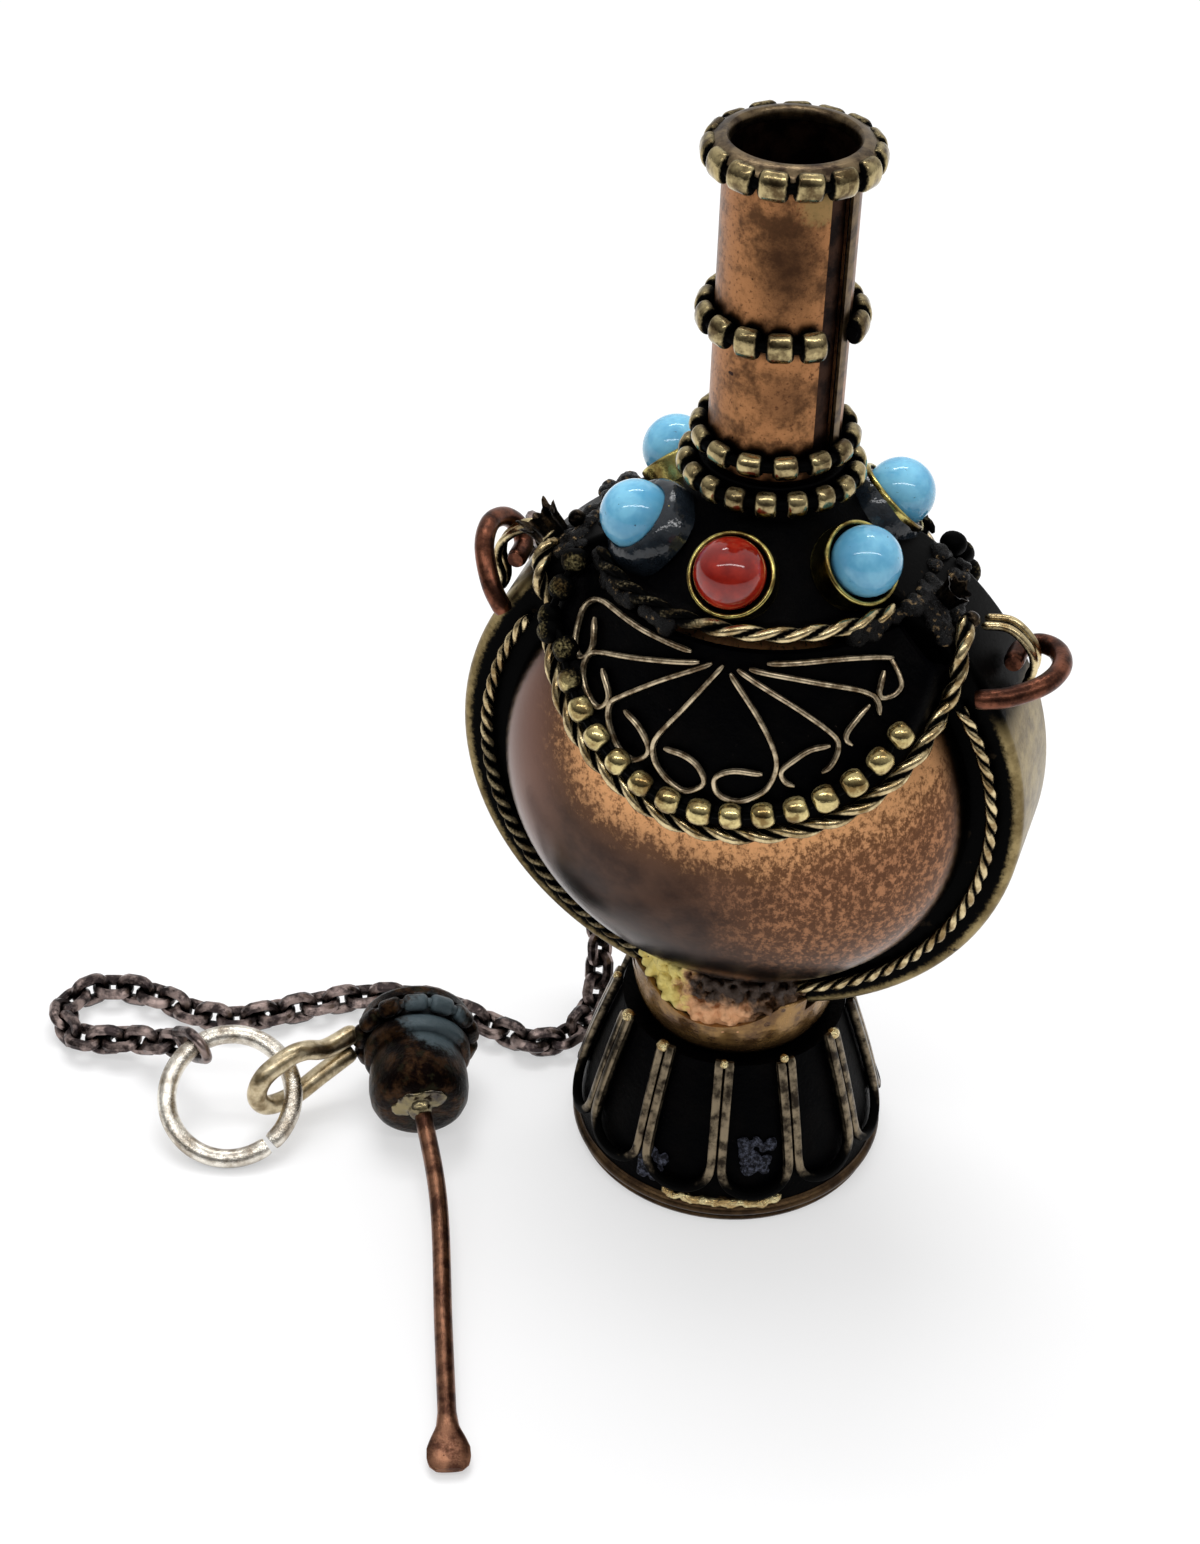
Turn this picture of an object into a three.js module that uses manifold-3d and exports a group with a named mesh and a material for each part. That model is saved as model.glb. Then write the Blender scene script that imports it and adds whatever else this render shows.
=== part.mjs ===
// A Himalayan snuff bottle with its stopper and chain, in millimetres.
// +Z is up, the front faces -Y and the origin is the centre of the foot's underside.
// The stopper lies on the table at the left front, tied to the left eye by the chain.
import * as THREE from "three";
import { mergeVertices } from "three/addons/utils/BufferGeometryUtils.js";
import Module from "manifold-3d";

const wasm = await Module();
wasm.setup();

// Clearances
const solderGap = 0.15; // between trim and the sheet that carries it
const seatGap = 0.3; // between pieces that are turned, or cut to fit each other

// Foot
const basePlateRadius = 11.3;
const basePlateThickness = 0.5;
const footRimRadius = 11.6;
const footRimHeight = 1.1;
const footRimWidth = 1.3;
const footBottomRadius = 11.15;
const footTopRadius = 8.15;
const footTopZ = 12.5;
const footBelly = 0.2;
const footWall = 0.7;
const petalCount = 12;
const petalTurn = -3; // degrees from the front to the middle of the first petal
const petalWire = 0.65;
const petalLegGap = 0.05; // from each leg of a pair to the line between them
const petalBendZ = 5.5;
const petalFootZ = 2.9;

// Saddle cup between foot and body
const cupBaseRadius = 6.7;
const cupStepRadius = 7.3;
const cupStepHeight = 0.7;
const cupLipRadius = 7.7;
const cupLipZ = 17.2;
const cupTroughZ = 15.4;
const cupTroughRadius = 7.5;
const cupWall = 0.7;

// Round body: a rim band with a dome soldered on each face
const bodyZ = 35;
const bandRadius = 19.7;
const bandInnerRadius = 15.5;
const bandHalfDepth = 4;
const bandWall = 0.6;
const bandEdgeRound = 0.5;
const neckHoleRadius = 3.3;
const domeRadius = 16.2;
const domeHeight = 9;
const domeWall = 0.7;
const rimRopeRadius = 17.7;
const rimRopeWire = 0.85;
const rimRopeTop = 34; // degrees above the horizontal where the bib covers it

// Bibs: the shield of sheet on each shoulder, edged with rope and beads
const bibTopZ = 50.3;
const bibTopHalfWidth = 10.2;
const bibTopRadius = 10.7;
const bibArcZ = 49;
const bibHalfWidth = 14.4;
const bibDrop = 11.4;
const bibEndAngle = 84;
const bibBulge = 0.5;
const bibThickness = 0.5;
const bibRopeWire = 1.15;
const bibBead = 1.35;
const bibBeadInset = 1.9; // from the bib rope's middle to the row of beads
const bibBeadCount = 16;
const bibBeadEndAngle = 78;
const scrollWire = 0.5;
const scrollHook = 1.1;
const scrollCurl = 230;
const scrollApexZ = 49.3;
const scrollBoss = 0.8;
const lowestScrollRun = 8;
const lowScrollRun = 8.2;
const highScrollRun = 9.3;
const highestScrollRun = 9.8;
const scrolls = [
  { heading: 25, run: lowestScrollRun },
  { heading: 45, run: lowScrollRun },
  { heading: 63, run: highScrollRun },
  { heading: 79, run: highestScrollRun },
];

// Shoulder cone with its brim, stones and collar
const brimRadius = 10.4;
const brimZ = 50.7;
const brimThickness = 0.6;
const shoulderRadius = 9.2;
const collarRadius = 4.75;
const collarZ = 56.1;
const collarTopZ = 58.4;
const shoulderWall = 0.45;
const shoulderRopeWire = 1.05;
const shoulderRopeZ = 51.2;
const shoulderRopeSpan = 62; // degrees to each side of the front and of the back
const stoneCount = 6;
const stoneRadius = 2.3;
const stoneFoot = 1.3;
const stoneRingRadius = 8.82;
const stoneRingZ = 54.4;
const bezelGap = 0.18;
const bezelWall = 0.35;
const bezelRimDrop = 0.3;

// Neck
const boreRadius = 3.85;
const tubeWall = 0.15;
const tubeBottomZ = 55;
const sleeveGap = 0.05;
const sleeveWall = 0.2;
const sleeveBottomZ = collarTopZ + 0.2;
const neckTopZ = 79.2;
const seamAngle = 62; // degrees from the front towards +X
const seamWidth = 0.9;
const stripWidth = 0.7;
const stripWall = 0.2;
const stripRise = 0.9; // above the middle of the upper ring
const stripTopDrop = 1.6; // from the neck's top, under the beads of the mouth
const lipRadius = 4.5;
const lipHeight = 0.8;
const lowerRingRise = 1.5; // above the collar's bottom
const lowerRingBead = 1.36;
const upperRingRise = 1.6; // above the collar's top
const upperRingBead = 1.12;
const midRingZ = 68.3;
const midRingBead = 1.16;
const midRingOpening = 30; // degrees left open for the seam strip
const mouthRingDrop = 0.1; // from the neck's top
const mouthRingBead = 1.2;
const ringBeadCount = 16;

// Eyes, copper rings, crowns and balls on the sides
const eyeWire = 0.64;
const eyeRowPitch = 1.0;
const eyeBends = [
  [14.75, 48.75],
  [16.6, 48.9],
  [18.1, 47.6],
  [18.45, 46.2],
  [18.1, 45.0],
  [18.15, 44.05],
];
const ringPivotX = 17.12;
const ringPivotZ = 46.43;
const ringWire = 1.4;
const rightRingTilt = 12;
const leftRingTilt = 57;
const ringBends = [
  [-1.5, -5],
  [0.5, -4.6],
  [2.5, -3],
  [3.2, -0.9],
  [2.6, 1],
  [1.3, 1.9],
  [0.2, 1.3],
  [0, 0],
  [0, -0.7],
];
const crownRadius = 1.1;
const crownHeight = 2.1;
const crownFlutes = 7;
const ballRadius = 0.6;
const sideTrim = [
  { side: "left", crownAngle: -46, ballAngle: -39.5, forward: 2 },
  { side: "right", crownAngle: 37, ballAngle: 43, forward: 1.5 },
];

// Split ring
const splitRingX = -34.3;
const splitRingY = -14.5;
const splitRingRadius = 4.7;
const splitRingWire = 1.4;
const splitRingHeading = 17.6;
const splitRingLean = 34.5;
const splitGapPlace = -48;
const splitGapAngle = 5;
const eyePlaceOnRing = 20; // degrees round the split ring where the stopper's eye hangs

// Stopper, lying on the table
const stopperX = -23.1;
const stopperY = -5.2;
const stopperHeading = 24; // degrees from the front towards +X
const stopperDip = 7.5;
const plugLength = 5.6;
const plugTipRadius = 3.6;
const plugTopRadius = 4.1;
const stopperRingRadius = 4.15;
const stopperRingBead = 1.2;
const stopperRingCount = 12;
const capRadius = 4.2;
const capHeight = 1.7;
const capDome = 0.7;
const stopperEyeWire = 1.3;
const stopperEyeBends = [
  [-3.4, 0.2],
  [-1.5, 2.1],
  [0, 2.4],
  [2.2, 1.7],
  [3, 0],
  [2.2, -1.7],
  [0, -2.3],
  [-2.5, -1.75],
];
const dipperWire = 1.3;
const dipperBends = [
  [0, 0.2, -5.9],
  [-0.94, 0.25, -15.2],
  [-0.77, 0.3, -26.5],
  [-0.6, 0.9, -37.9],
];
const spoonLength = 3.6;
const spoonWidth = 3;
const spoonThickness = 0.7;

// Chain. Its route is chosen by hand: down behind the body and along the table.
const chainWidth = 2.6;
const chainSteps = 32;
const chainRoute = [
  [-17.5, 3.6, 46.9],
  [-17.6, 5.5, 44.3],
  [-17.4, 6.7, 40.2],
  [-16.9, 7.3, 33.5],
  [-16.1, 8.0, 26.0],
  [-15.3, 8.9, 18.0],
  [-14.3, 10.0, 10.0],
  [-13.7, 10.1, 5.6],
  [-13.3, 9.1, 2.7],
  [-13.0, 7.0, 1.5],
  [-13.1, 4.6, 1.3],
  [-13.9, 2.2, 1.3],
  [-15.9, 1.1, 1.3],
  [-18.5, 1.4, 1.3],
  [-21.5, 2.2, 1.3],
  [-25.0, 2.7, 1.3],
  [-28.5, 2.0, 1.3],
  [-31.4, 0.6, 1.3],
  [-35.0, -2.1, 1.3],
  [-38.3, -4.4, 1.3],
  [-41.5, -5.0, 1.3],
  [-44.4, -4.4, 1.3],
  [-47.5, -4.2, 1.3],
  [-50.2, -5.1, 1.3],
  [-51.4, -7.5, 1.3],
  [-50.4, -9.9, 1.4],
  [-48.0, -10.8, 1.6],
  [-45.2, -10.2, 1.9],
  [-42.8, -10.2, 2.5],
  [-40.8, -10.8, 3.4],
  [-39.0, -11.4, 4.4],
];

// Materials
const metal = (color, roughness) => new THREE.MeshStandardMaterial({ color, roughness, metalness: 0.9 });
const glass = (color) => new THREE.MeshStandardMaterial({ color, roughness: 0.12, metalness: 0 });
const antiqueBrass = metal(0xb5a873, 0.4);
const goldBrass = metal(0xd0a44a, 0.25);
const blackened = metal(0x17130f, 0.6);
const copper = metal(0xb07650, 0.4);
const darkCopper = metal(0x78402c, 0.45);
const silver = metal(0xcfc9bd, 0.25);
const gunmetal = metal(0x504243, 0.45);
const bronze = metal(0x6e5a3c, 0.5);
const turquoise = glass(0x6eb9dc);
const coral = glass(0xaf3223);

const TURN = Math.PI * 2;
const { degToRad, radToDeg, lerp } = THREE.MathUtils;
const vec = (x, y, z) => new THREE.Vector3(x, y, z);
const range = (count) => Array.from({ length: count }, (_, i) => i);

const bottle = new THREE.Group();

function add(name, geometry, material, parent = bottle) {
  const mesh = new THREE.Mesh(geometry, material);
  mesh.name = name;
  parent.add(mesh);
  return mesh;
}

// Solids

function solidOf(geometry) {
  const bare = geometry.clone();
  bare.deleteAttribute("normal");
  bare.deleteAttribute("uv");
  const merged = mergeVertices(bare, 1e-4);
  return new wasm.Manifold(
    new wasm.Mesh({
      numProp: 3,
      vertProperties: new Float32Array(merged.attributes.position.array),
      triVerts: new Uint32Array(merged.index.array),
    }),
  );
}

function geometryOf(solid) {
  const { vertProperties, triVerts } = solid.getMesh();
  return meshed(Array.from(vertProperties), Array.from(triVerts));
}

function meshed(positions, faces) {
  const geometry = new THREE.BufferGeometry();
  geometry.setAttribute("position", new THREE.Float32BufferAttribute(positions, 3));
  geometry.setIndex(faces);
  return geometry;
}

const joined = (geometries) =>
  geometryOf(geometries.map(solidOf).reduce((whole, piece) => whole.add(piece)));

const cut = (geometry, ...cutters) =>
  geometryOf(cutters.map(solidOf).reduce((whole, cutter) => whole.subtract(cutter), solidOf(geometry)));

// A turned piece about +Z. The profile lists [radius, z] with the metal on its left.
// It starts and ends on the axis, or is closed back to its first point.
function turned(profile, segments) {
  const closing = profile[0][0] > 0 ? [profile[0]] : [];
  const points = [...profile, ...closing].map(([radius, z]) => new THREE.Vector2(radius, z));
  return new THREE.LatheGeometry(points, segments).rotateX(Math.PI / 2);
}

// The same about the body's axis, which runs front to back: [radius, depth towards the back].
const turnedAboutBody = (profile, segments) =>
  turned(profile, segments).rotateX(-Math.PI / 2).translate(0, 0, bodyZ);

// A wire through a list of points. radius(i) gives half its size across and along facing(point).
function wire(points, { radius, facing, sides = 4, closed = false }) {
  const last = points.length - 1;
  const positions = [];
  points.forEach((point, i) => {
    const before = points[i > 0 ? i - 1 : closed ? last : 0];
    const after = points[i < last ? i + 1 : closed ? 0 : last];
    const along = after.clone().sub(before).normalize();
    const above = facing(point).projectOnPlane(along).normalize();
    const across = above.clone().cross(along);
    const [width, height] = radius(i);
    for (const k of range(sides)) {
      const turn = ((k + 0.5) / sides) * TURN;
      const corner = point.clone().addScaledVector(across, width * Math.cos(turn));
      corner.addScaledVector(above, height * Math.sin(turn));
      positions.push(...corner.toArray());
    }
  });
  const faces = [];
  for (const i of range(closed ? points.length : last)) {
    const here = i * sides;
    const there = ((i + 1) % points.length) * sides;
    for (const k of range(sides)) {
      const next = (k + 1) % sides;
      faces.push(here + k, here + next, there + next, here + k, there + next, there + k);
    }
  }
  if (!closed) {
    const end = last * sides;
    for (const k of range(sides - 2)) {
      faces.push(0, k + 2, k + 1, end, end + k + 1, end + k + 2);
    }
  }
  return meshed(positions, faces);
}

const round = (diameter) => () => [diameter / 2, diameter / 2];
// A four-sided wire whose flats are a given distance apart.
const square = (side) => () => [side * Math.SQRT1_2, side * Math.SQRT1_2];
// A neck and a full ring by turns, so that each bead is a small faceted ball.
const stepsPerBead = 2;
const beaded = (bead) => (i) => {
  const half = i % stepsPerBead === 0 ? bead * 0.3 : bead * 0.5;
  return [half, half];
};

const upwards = () => vec(0, 0, 1);
const frontwards = () => vec(0, -1, 0);
const fromAxis = (point) => vec(point.x, point.y, 0);

// A place round the bottle's axis; the angle runs from the front towards +X.
function aroundAxis(radius, z, degrees) {
  const angle = degToRad(degrees);
  return vec(radius * Math.sin(angle), -radius * Math.cos(angle), z);
}

// Foot

const footBottomZ = basePlateThickness + footRimHeight;

function footRadiusAt(z) {
  const rise = (z - footBottomZ) / (footTopZ - footBottomZ);
  return lerp(footBottomRadius, footTopRadius, rise) + footBelly * Math.sin(Math.PI * rise);
}

function makeBasePlate() {
  const profile = [
    [0, 0],
    [basePlateRadius, 0],
    [basePlateRadius, basePlateThickness],
    [0, basePlateThickness],
  ];
  add("base_plate", turned(profile, 30), copper);
}

function makeFootRim() {
  const inner = footRimRadius - footRimWidth;
  const bevel = footRimHeight / 4;
  const profile = [
    [inner, basePlateThickness],
    [footRimRadius - bevel, basePlateThickness],
    [footRimRadius, basePlateThickness + bevel],
    [footRimRadius, footBottomZ - bevel],
    [footRimRadius - bevel, footBottomZ],
    [inner, footBottomZ],
  ];
  add("foot_rim", turned(profile, 30), antiqueBrass);
}

function makeFootCone() {
  const outside = [0, 0.33, 0.67, 1].map((rise) => {
    const z = lerp(footBottomZ, footTopZ, rise);
    return [footRadiusAt(z), z];
  });
  const profile = [
    [0, footTopZ - footWall],
    [footTopRadius - footWall, footTopZ - footWall],
    [footBottomRadius - footWall, footBottomZ],
    ...outside,
    [0, footTopZ],
  ];
  add("foot_cone", turned(profile, 30), blackened);
}

// The petals are one wire bent round the foot: down a leg, round the arch, up the next leg
// and over a small bridge to the leg of the next petal.
function petalWires() {
  const bendSteps = 5;
  const halfPetal = 180 / petalCount;
  const legAngle = (z) => halfPetal - radToDeg((petalWire / 2 + petalLegGap) / footRadiusAt(z));
  const legTopZ = footTopZ - petalWire * 0.65;
  const legZs = [legTopZ, lerp(legTopZ, petalBendZ, 0.5)];
  const points = range(petalCount).flatMap((petal) => {
    const middle = petalTurn + 2 * halfPetal * petal;
    const place = (offset, z) =>
      aroundAxis(footRadiusAt(z) + solderGap + petalWire / 2, z, middle + offset);
    const bend = range(bendSteps + 1).map((i) => {
      const turn = (i / bendSteps) * Math.PI;
      const z = petalBendZ - (petalBendZ - petalFootZ) * Math.sin(turn);
      return place(-legAngle(petalBendZ) * Math.cos(turn), z);
    });
    const down = legZs.map((z) => place(-legAngle(z), z));
    const up = legZs.map((z) => place(legAngle(z), z)).reverse();
    return [place(-halfPetal, footTopZ), ...down, ...bend, ...up];
  });
  return wire(points, { radius: square(petalWire), facing: fromAxis, closed: true });
}

function makeFoot() {
  makeBasePlate();
  makeFootRim();
  makeFootCone();
  add("petal_wires", petalWires(), antiqueBrass);
}

// Body: the room it takes out of the cup below and the shoulder above

function bodyRoom() {
  const radius = bandRadius + seatGap;
  const depth = 2 * (bandHalfDepth + seatGap);
  return new THREE.CylinderGeometry(radius, radius, depth, 48).translate(0, 0, bodyZ);
}

// A bowl whose lip dips at the front and back and rises to lugs beside the band.
function makeSaddleCup() {
  const stepZ = footTopZ + cupStepHeight;
  const bowl = turned(
    [
      [0, footTopZ],
      [cupBaseRadius, footTopZ],
      [cupStepRadius, stepZ],
      [lerp(cupStepRadius, cupLipRadius, 0.75), lerp(stepZ, cupLipZ, 0.45)],
      [cupLipRadius, cupLipZ],
      [cupLipRadius - cupWall, cupLipZ],
      [cupStepRadius - cupWall, stepZ],
      [0, stepZ],
    ],
    30,
  );
  const trough = new THREE.CylinderGeometry(cupTroughRadius, cupTroughRadius, 3 * cupLipRadius, 40);
  trough.translate(0, 0, cupTroughZ + cupTroughRadius);
  add("saddle_cup", cut(bowl, trough, bodyRoom()), goldBrass);
}

function makeRimBand() {
  const channel = bandHalfDepth - bandWall;
  const band = turnedAboutBody(
    [
      [bandInnerRadius, -bandHalfDepth],
      [bandRadius - bandEdgeRound, -bandHalfDepth],
      [bandRadius, bandEdgeRound - bandHalfDepth],
      [bandRadius, bandHalfDepth - bandEdgeRound],
      [bandRadius - bandEdgeRound, bandHalfDepth],
      [bandInnerRadius, bandHalfDepth],
      [bandInnerRadius, channel],
      [bandRadius - bandWall, channel],
      [bandRadius - bandWall, -channel],
      [bandInnerRadius, -channel],
    ],
    40,
  );
  const hole = new THREE.CylinderGeometry(neckHoleRadius, neckHoleRadius, bandInnerRadius, 16);
  hole.rotateX(Math.PI / 2).translate(0, 0, bodyZ + bandRadius);
  add("rim_band", cut(band, hole), antiqueBrass);
}

function domeDepth(x, z, lift = 0) {
  const share = Math.hypot(x, z - bodyZ) / (domeRadius + lift);
  const rise = (domeHeight + lift) * Math.sqrt(Math.max(0, 1 - share * share));
  return bandHalfDepth + Math.max(rise, lift);
}

function domeShell() {
  const arc = (rings, wall) =>
    range(rings + 1).map((i) => {
      const turn = (i / rings) * (Math.PI / 2);
      const radius = i < rings ? (domeRadius - wall) * Math.cos(turn) : 0;
      return [radius, bandHalfDepth + (domeHeight - wall) * Math.sin(turn)];
    });
  return turnedAboutBody([...arc(4, domeWall).reverse(), ...arc(6, 0)], 28).rotateZ(Math.PI);
}

function rimRope() {
  const steps = 30;
  const depth = bandHalfDepth + solderGap + rimRopeWire / 2;
  const points = range(steps + 1).map((i) => {
    const angle = degToRad(rimRopeTop - ((180 + 2 * rimRopeTop) * i) / steps);
    const x = rimRopeRadius * Math.cos(angle);
    return vec(x, -depth, bodyZ + rimRopeRadius * Math.sin(angle));
  });
  return wire(points, { radius: round(rimRopeWire), facing: frontwards });
}

// Bib: its outline is drawn in the front view and laid from the shoulder down to the dome

function bibEdge(degrees, inset) {
  const angle = degToRad(degrees);
  const x = (bibHalfWidth - inset) * Math.sin(angle);
  const z = bibArcZ - (bibDrop - inset) * Math.cos(angle);
  return [x, z];
}

const bibPlateInset = bibRopeWire / 2 + solderGap;

function bibDepth(x, z, lift) {
  const share = Math.min(Math.abs(x) / (bibHalfWidth - bibPlateInset), 1);
  const bottomZ = bibArcZ - (bibDrop - bibPlateInset) * Math.sqrt(1 - share * share);
  const rise = THREE.MathUtils.clamp((z - bottomZ) / (bibTopZ - bottomZ), 0, 1);
  const topRound = Math.sqrt(Math.max((bibTopRadius + lift - seatGap) ** 2 - x * x, 0));
  const top = Math.max(topRound, bandHalfDepth + lift);
  const loft = lerp(domeDepth(x, bottomZ, lift), top, rise) + bibBulge * 4 * rise * (1 - rise);
  return Math.max(loft, domeDepth(x, z, lift));
}

const bibOutside = seatGap + bibThickness;

function bibNormal(x, z) {
  const step = 0.1;
  const slopeX = bibDepth(x + step, z, bibOutside) - bibDepth(x - step, z, bibOutside);
  const slopeZ = bibDepth(x, z + step, bibOutside) - bibDepth(x, z - step, bibOutside);
  return vec(-slopeX, -2 * step, -slopeZ).normalize();
}

// A place standing off the bib's face by height, and the direction it faces there.
const onBib = (x, z, height) =>
  vec(x, -bibDepth(x, z, bibOutside), z).addScaledVector(bibNormal(x, z), height);
const fromBib = (point) => bibNormal(point.x, point.z);

function bibPlate() {
  const columns = 16;
  const rows = 5;
  const positions = [];
  for (const lift of [bibOutside, seatGap]) {
    for (const i of range(columns + 1)) {
      const across = (2 * i) / columns - 1;
      const [edgeX, edgeZ] = bibEdge(across * bibEndAngle, bibPlateInset);
      for (const j of range(rows + 1)) {
        const x = lerp(bibTopHalfWidth * across, edgeX, j / rows);
        const z = lerp(bibTopZ, edgeZ, j / rows);
        positions.push(x, -bibDepth(x, z, lift), z);
      }
    }
  }
  const faces = [];
  const quad = (a, b, c, d) => faces.push(a, b, c, a, c, d);
  const place = (layer, i, j) => (layer * (columns + 1) + i) * (rows + 1) + j;
  for (const i of range(columns)) {
    for (const j of range(rows)) {
      quad(place(0, i, j), place(0, i, j + 1), place(0, i + 1, j + 1), place(0, i + 1, j));
      quad(place(1, i, j), place(1, i + 1, j), place(1, i + 1, j + 1), place(1, i, j + 1));
    }
    quad(place(0, i, 0), place(0, i + 1, 0), place(1, i + 1, 0), place(1, i, 0));
    quad(place(0, i, rows), place(1, i, rows), place(1, i + 1, rows), place(0, i + 1, rows));
  }
  for (const j of range(rows)) {
    quad(place(0, 0, j), place(1, 0, j), place(1, 0, j + 1), place(0, 0, j + 1));
    quad(place(0, columns, j), place(0, columns, j + 1), place(1, columns, j + 1), place(1, columns, j));
  }
  return meshed(positions, faces);
}

function bibRope() {
  const steps = 24;
  const lift = bibRopeWire / 2 + solderGap;
  const points = range(steps + 1).map((i) => {
    const [x, z] = bibEdge(bibEndAngle * ((2 * i) / steps - 1), 0);
    return vec(x, -domeDepth(x, z, lift), z);
  });
  return wire(points, { radius: round(bibRopeWire), facing: frontwards, sides: 5 });
}

function bibBeads() {
  const steps = stepsPerBead * bibBeadCount;
  const points = range(steps + 1).map((i) => {
    const [x, z] = bibEdge(bibBeadEndAngle * ((2 * i) / steps - 1), bibBeadInset);
    return onBib(x, z, bibBead / 2 + solderGap);
  });
  return wire(points, { radius: beaded(bibBead), facing: fromBib });
}

// A scroll runs straight from the apex and curls back on itself in a hook.
function scroll({ heading, run }, side) {
  const hookSteps = 6;
  const ahead = degToRad(heading);
  const place = (x, z) => onBib(side * x, scrollApexZ + z, solderGap + scrollWire / 2);
  const straight = [0.25, 0.5, 0.75].map((share) =>
    place(share * run * Math.sin(ahead), -share * run * Math.cos(ahead)),
  );
  const middleX = run * Math.sin(ahead) - scrollHook * Math.cos(ahead);
  const middleZ = -run * Math.cos(ahead) - scrollHook * Math.sin(ahead);
  const hook = range(hookSteps + 1).map((i) => {
    const angle = ahead - degToRad((scrollCurl * i) / hookSteps);
    return place(middleX + scrollHook * Math.cos(angle), middleZ + scrollHook * Math.sin(angle));
  });
  const points = [place(0, 0), ...straight, ...hook];
  return wire(points, { radius: square(scrollWire), facing: fromBib });
}

function filigree() {
  const wires = [-1, 1].flatMap((side) => scrolls.map((shape) => scroll(shape, side)));
  const apex = onBib(0, scrollApexZ, solderGap + scrollBoss);
  const boss = new THREE.SphereGeometry(scrollBoss, 8, 6).translate(...apex.toArray());
  return joined([boss, ...wires]);
}

function makeBody() {
  makeRimBand();
  for (const [face, turn] of [
    ["front", 0],
    ["back", Math.PI],
  ]) {
    add(`${face}_dome`, domeShell().rotateZ(turn), copper);
    add(`${face}_rim_rope`, rimRope().rotateZ(turn), antiqueBrass);
    add(`${face}_bib_plate`, bibPlate().rotateZ(turn), blackened);
    add(`${face}_bib_rope`, bibRope().rotateZ(turn), antiqueBrass);
    add(`${face}_bib_beads`, bibBeads().rotateZ(turn), antiqueBrass);
    add(`${face}_filigree`, filigree().rotateZ(turn), antiqueBrass);
    add(`${face}_shoulder_rope`, shoulderRope().rotateZ(turn), antiqueBrass);
  }
}

// Shoulder

const brimTopZ = brimZ + brimThickness;
const shoulderRun = shoulderRadius - collarRadius;
const shoulderRise = collarZ - brimTopZ;
const shoulderSlope = Math.atan2(shoulderRun, shoulderRise);

function makeShoulderCone() {
  const inX = shoulderWall / Math.cos(shoulderSlope);
  const inner = collarRadius - shoulderWall;
  const profile = [
    [shoulderRadius - inX, brimZ],
    [brimRadius, brimZ],
    [brimRadius, brimTopZ],
    [shoulderRadius, brimTopZ],
    [collarRadius, collarZ],
    [collarRadius, collarTopZ],
    [inner, collarTopZ],
    [inner, collarZ - shoulderWall],
    [shoulderRadius - inX, brimTopZ],
  ];
  add("shoulder_cone", cut(turned(profile, 30), bodyRoom()), blackened);
}

function shoulderRope() {
  const steps = 14;
  const radius = brimRadius + solderGap + shoulderRopeWire / 2;
  const points = range(steps + 1).map((i) =>
    aroundAxis(radius, shoulderRopeZ, shoulderRopeSpan * ((2 * i) / steps - 1)),
  );
  return wire(points, { radius: round(shoulderRopeWire), facing: upwards, sides: 5 });
}

// Everything of the shoulder that a bezel or a stone must stay out of.
function shoulderRoom() {
  return turned(
    [
      [0, brimZ - seatGap],
      [brimRadius + seatGap, brimZ - seatGap],
      [brimRadius + seatGap, brimTopZ + seatGap],
      [shoulderRadius + seatGap, brimTopZ + seatGap],
      [collarRadius + seatGap, collarZ + seatGap],
      [collarRadius + seatGap, collarTopZ],
      [0, collarTopZ],
    ],
    30,
  );
}

// A bead with a flat foot.
function stone() {
  const rings = 5;
  const start = -Math.asin(stoneFoot / stoneRadius);
  const side = range(rings).map((i) => {
    const angle = lerp(start, Math.PI / 2, i / rings);
    return [stoneRadius * Math.cos(angle), stoneRadius * Math.sin(angle)];
  });
  return turned([[0, -stoneFoot], ...side, [0, stoneRadius]], 12);
}

function bezel() {
  const inner = stoneRadius + bezelGap;
  const outer = inner + bezelWall;
  const bottom = -stoneRadius;
  return turned(
    [
      [inner, bottom],
      [outer, bottom],
      [outer, -bezelRimDrop],
      [inner, -bezelRimDrop],
    ],
    14,
  );
}

function makeStones() {
  const rooms = [shoulderRoom(), bodyRoom()];
  for (const i of range(stoneCount)) {
    const place = (geometry) =>
      geometry
        .rotateX(Math.PI / 2 - shoulderSlope)
        .translate(0, -stoneRingRadius, stoneRingZ)
        .rotateZ((i * TURN) / stoneCount);
    const facesFrontOrBack = i % (stoneCount / 2) === 0;
    add(`bezel_${i + 1}`, cut(place(bezel()), ...rooms), antiqueBrass);
    add(`stone_${i + 1}`, cut(place(stone()), ...rooms), facesFrontOrBack ? coral : turquoise);
  }
}

// Neck

const tubeRadius = boreRadius + tubeWall;
const sleeveInner = tubeRadius + sleeveGap;
const sleeveRadius = sleeveInner + sleeveWall;

// Sheet rolled about the neck between two angles from the front towards +X.
function rolledSheet(inner, outer, fromAngle, toAngle, bottomZ, topZ, curveSegments) {
  const start = degToRad(fromAngle - 90);
  const end = degToRad(toAngle - 90);
  const shape = new THREE.Shape();
  shape.absarc(0, 0, outer, start, end, false);
  shape.absarc(0, 0, inner, end, start, true);
  const depth = topZ - bottomZ;
  const sheet = new THREE.ExtrudeGeometry(shape, { depth, curveSegments, bevelEnabled: false });
  return sheet.translate(0, 0, bottomZ);
}

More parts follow.
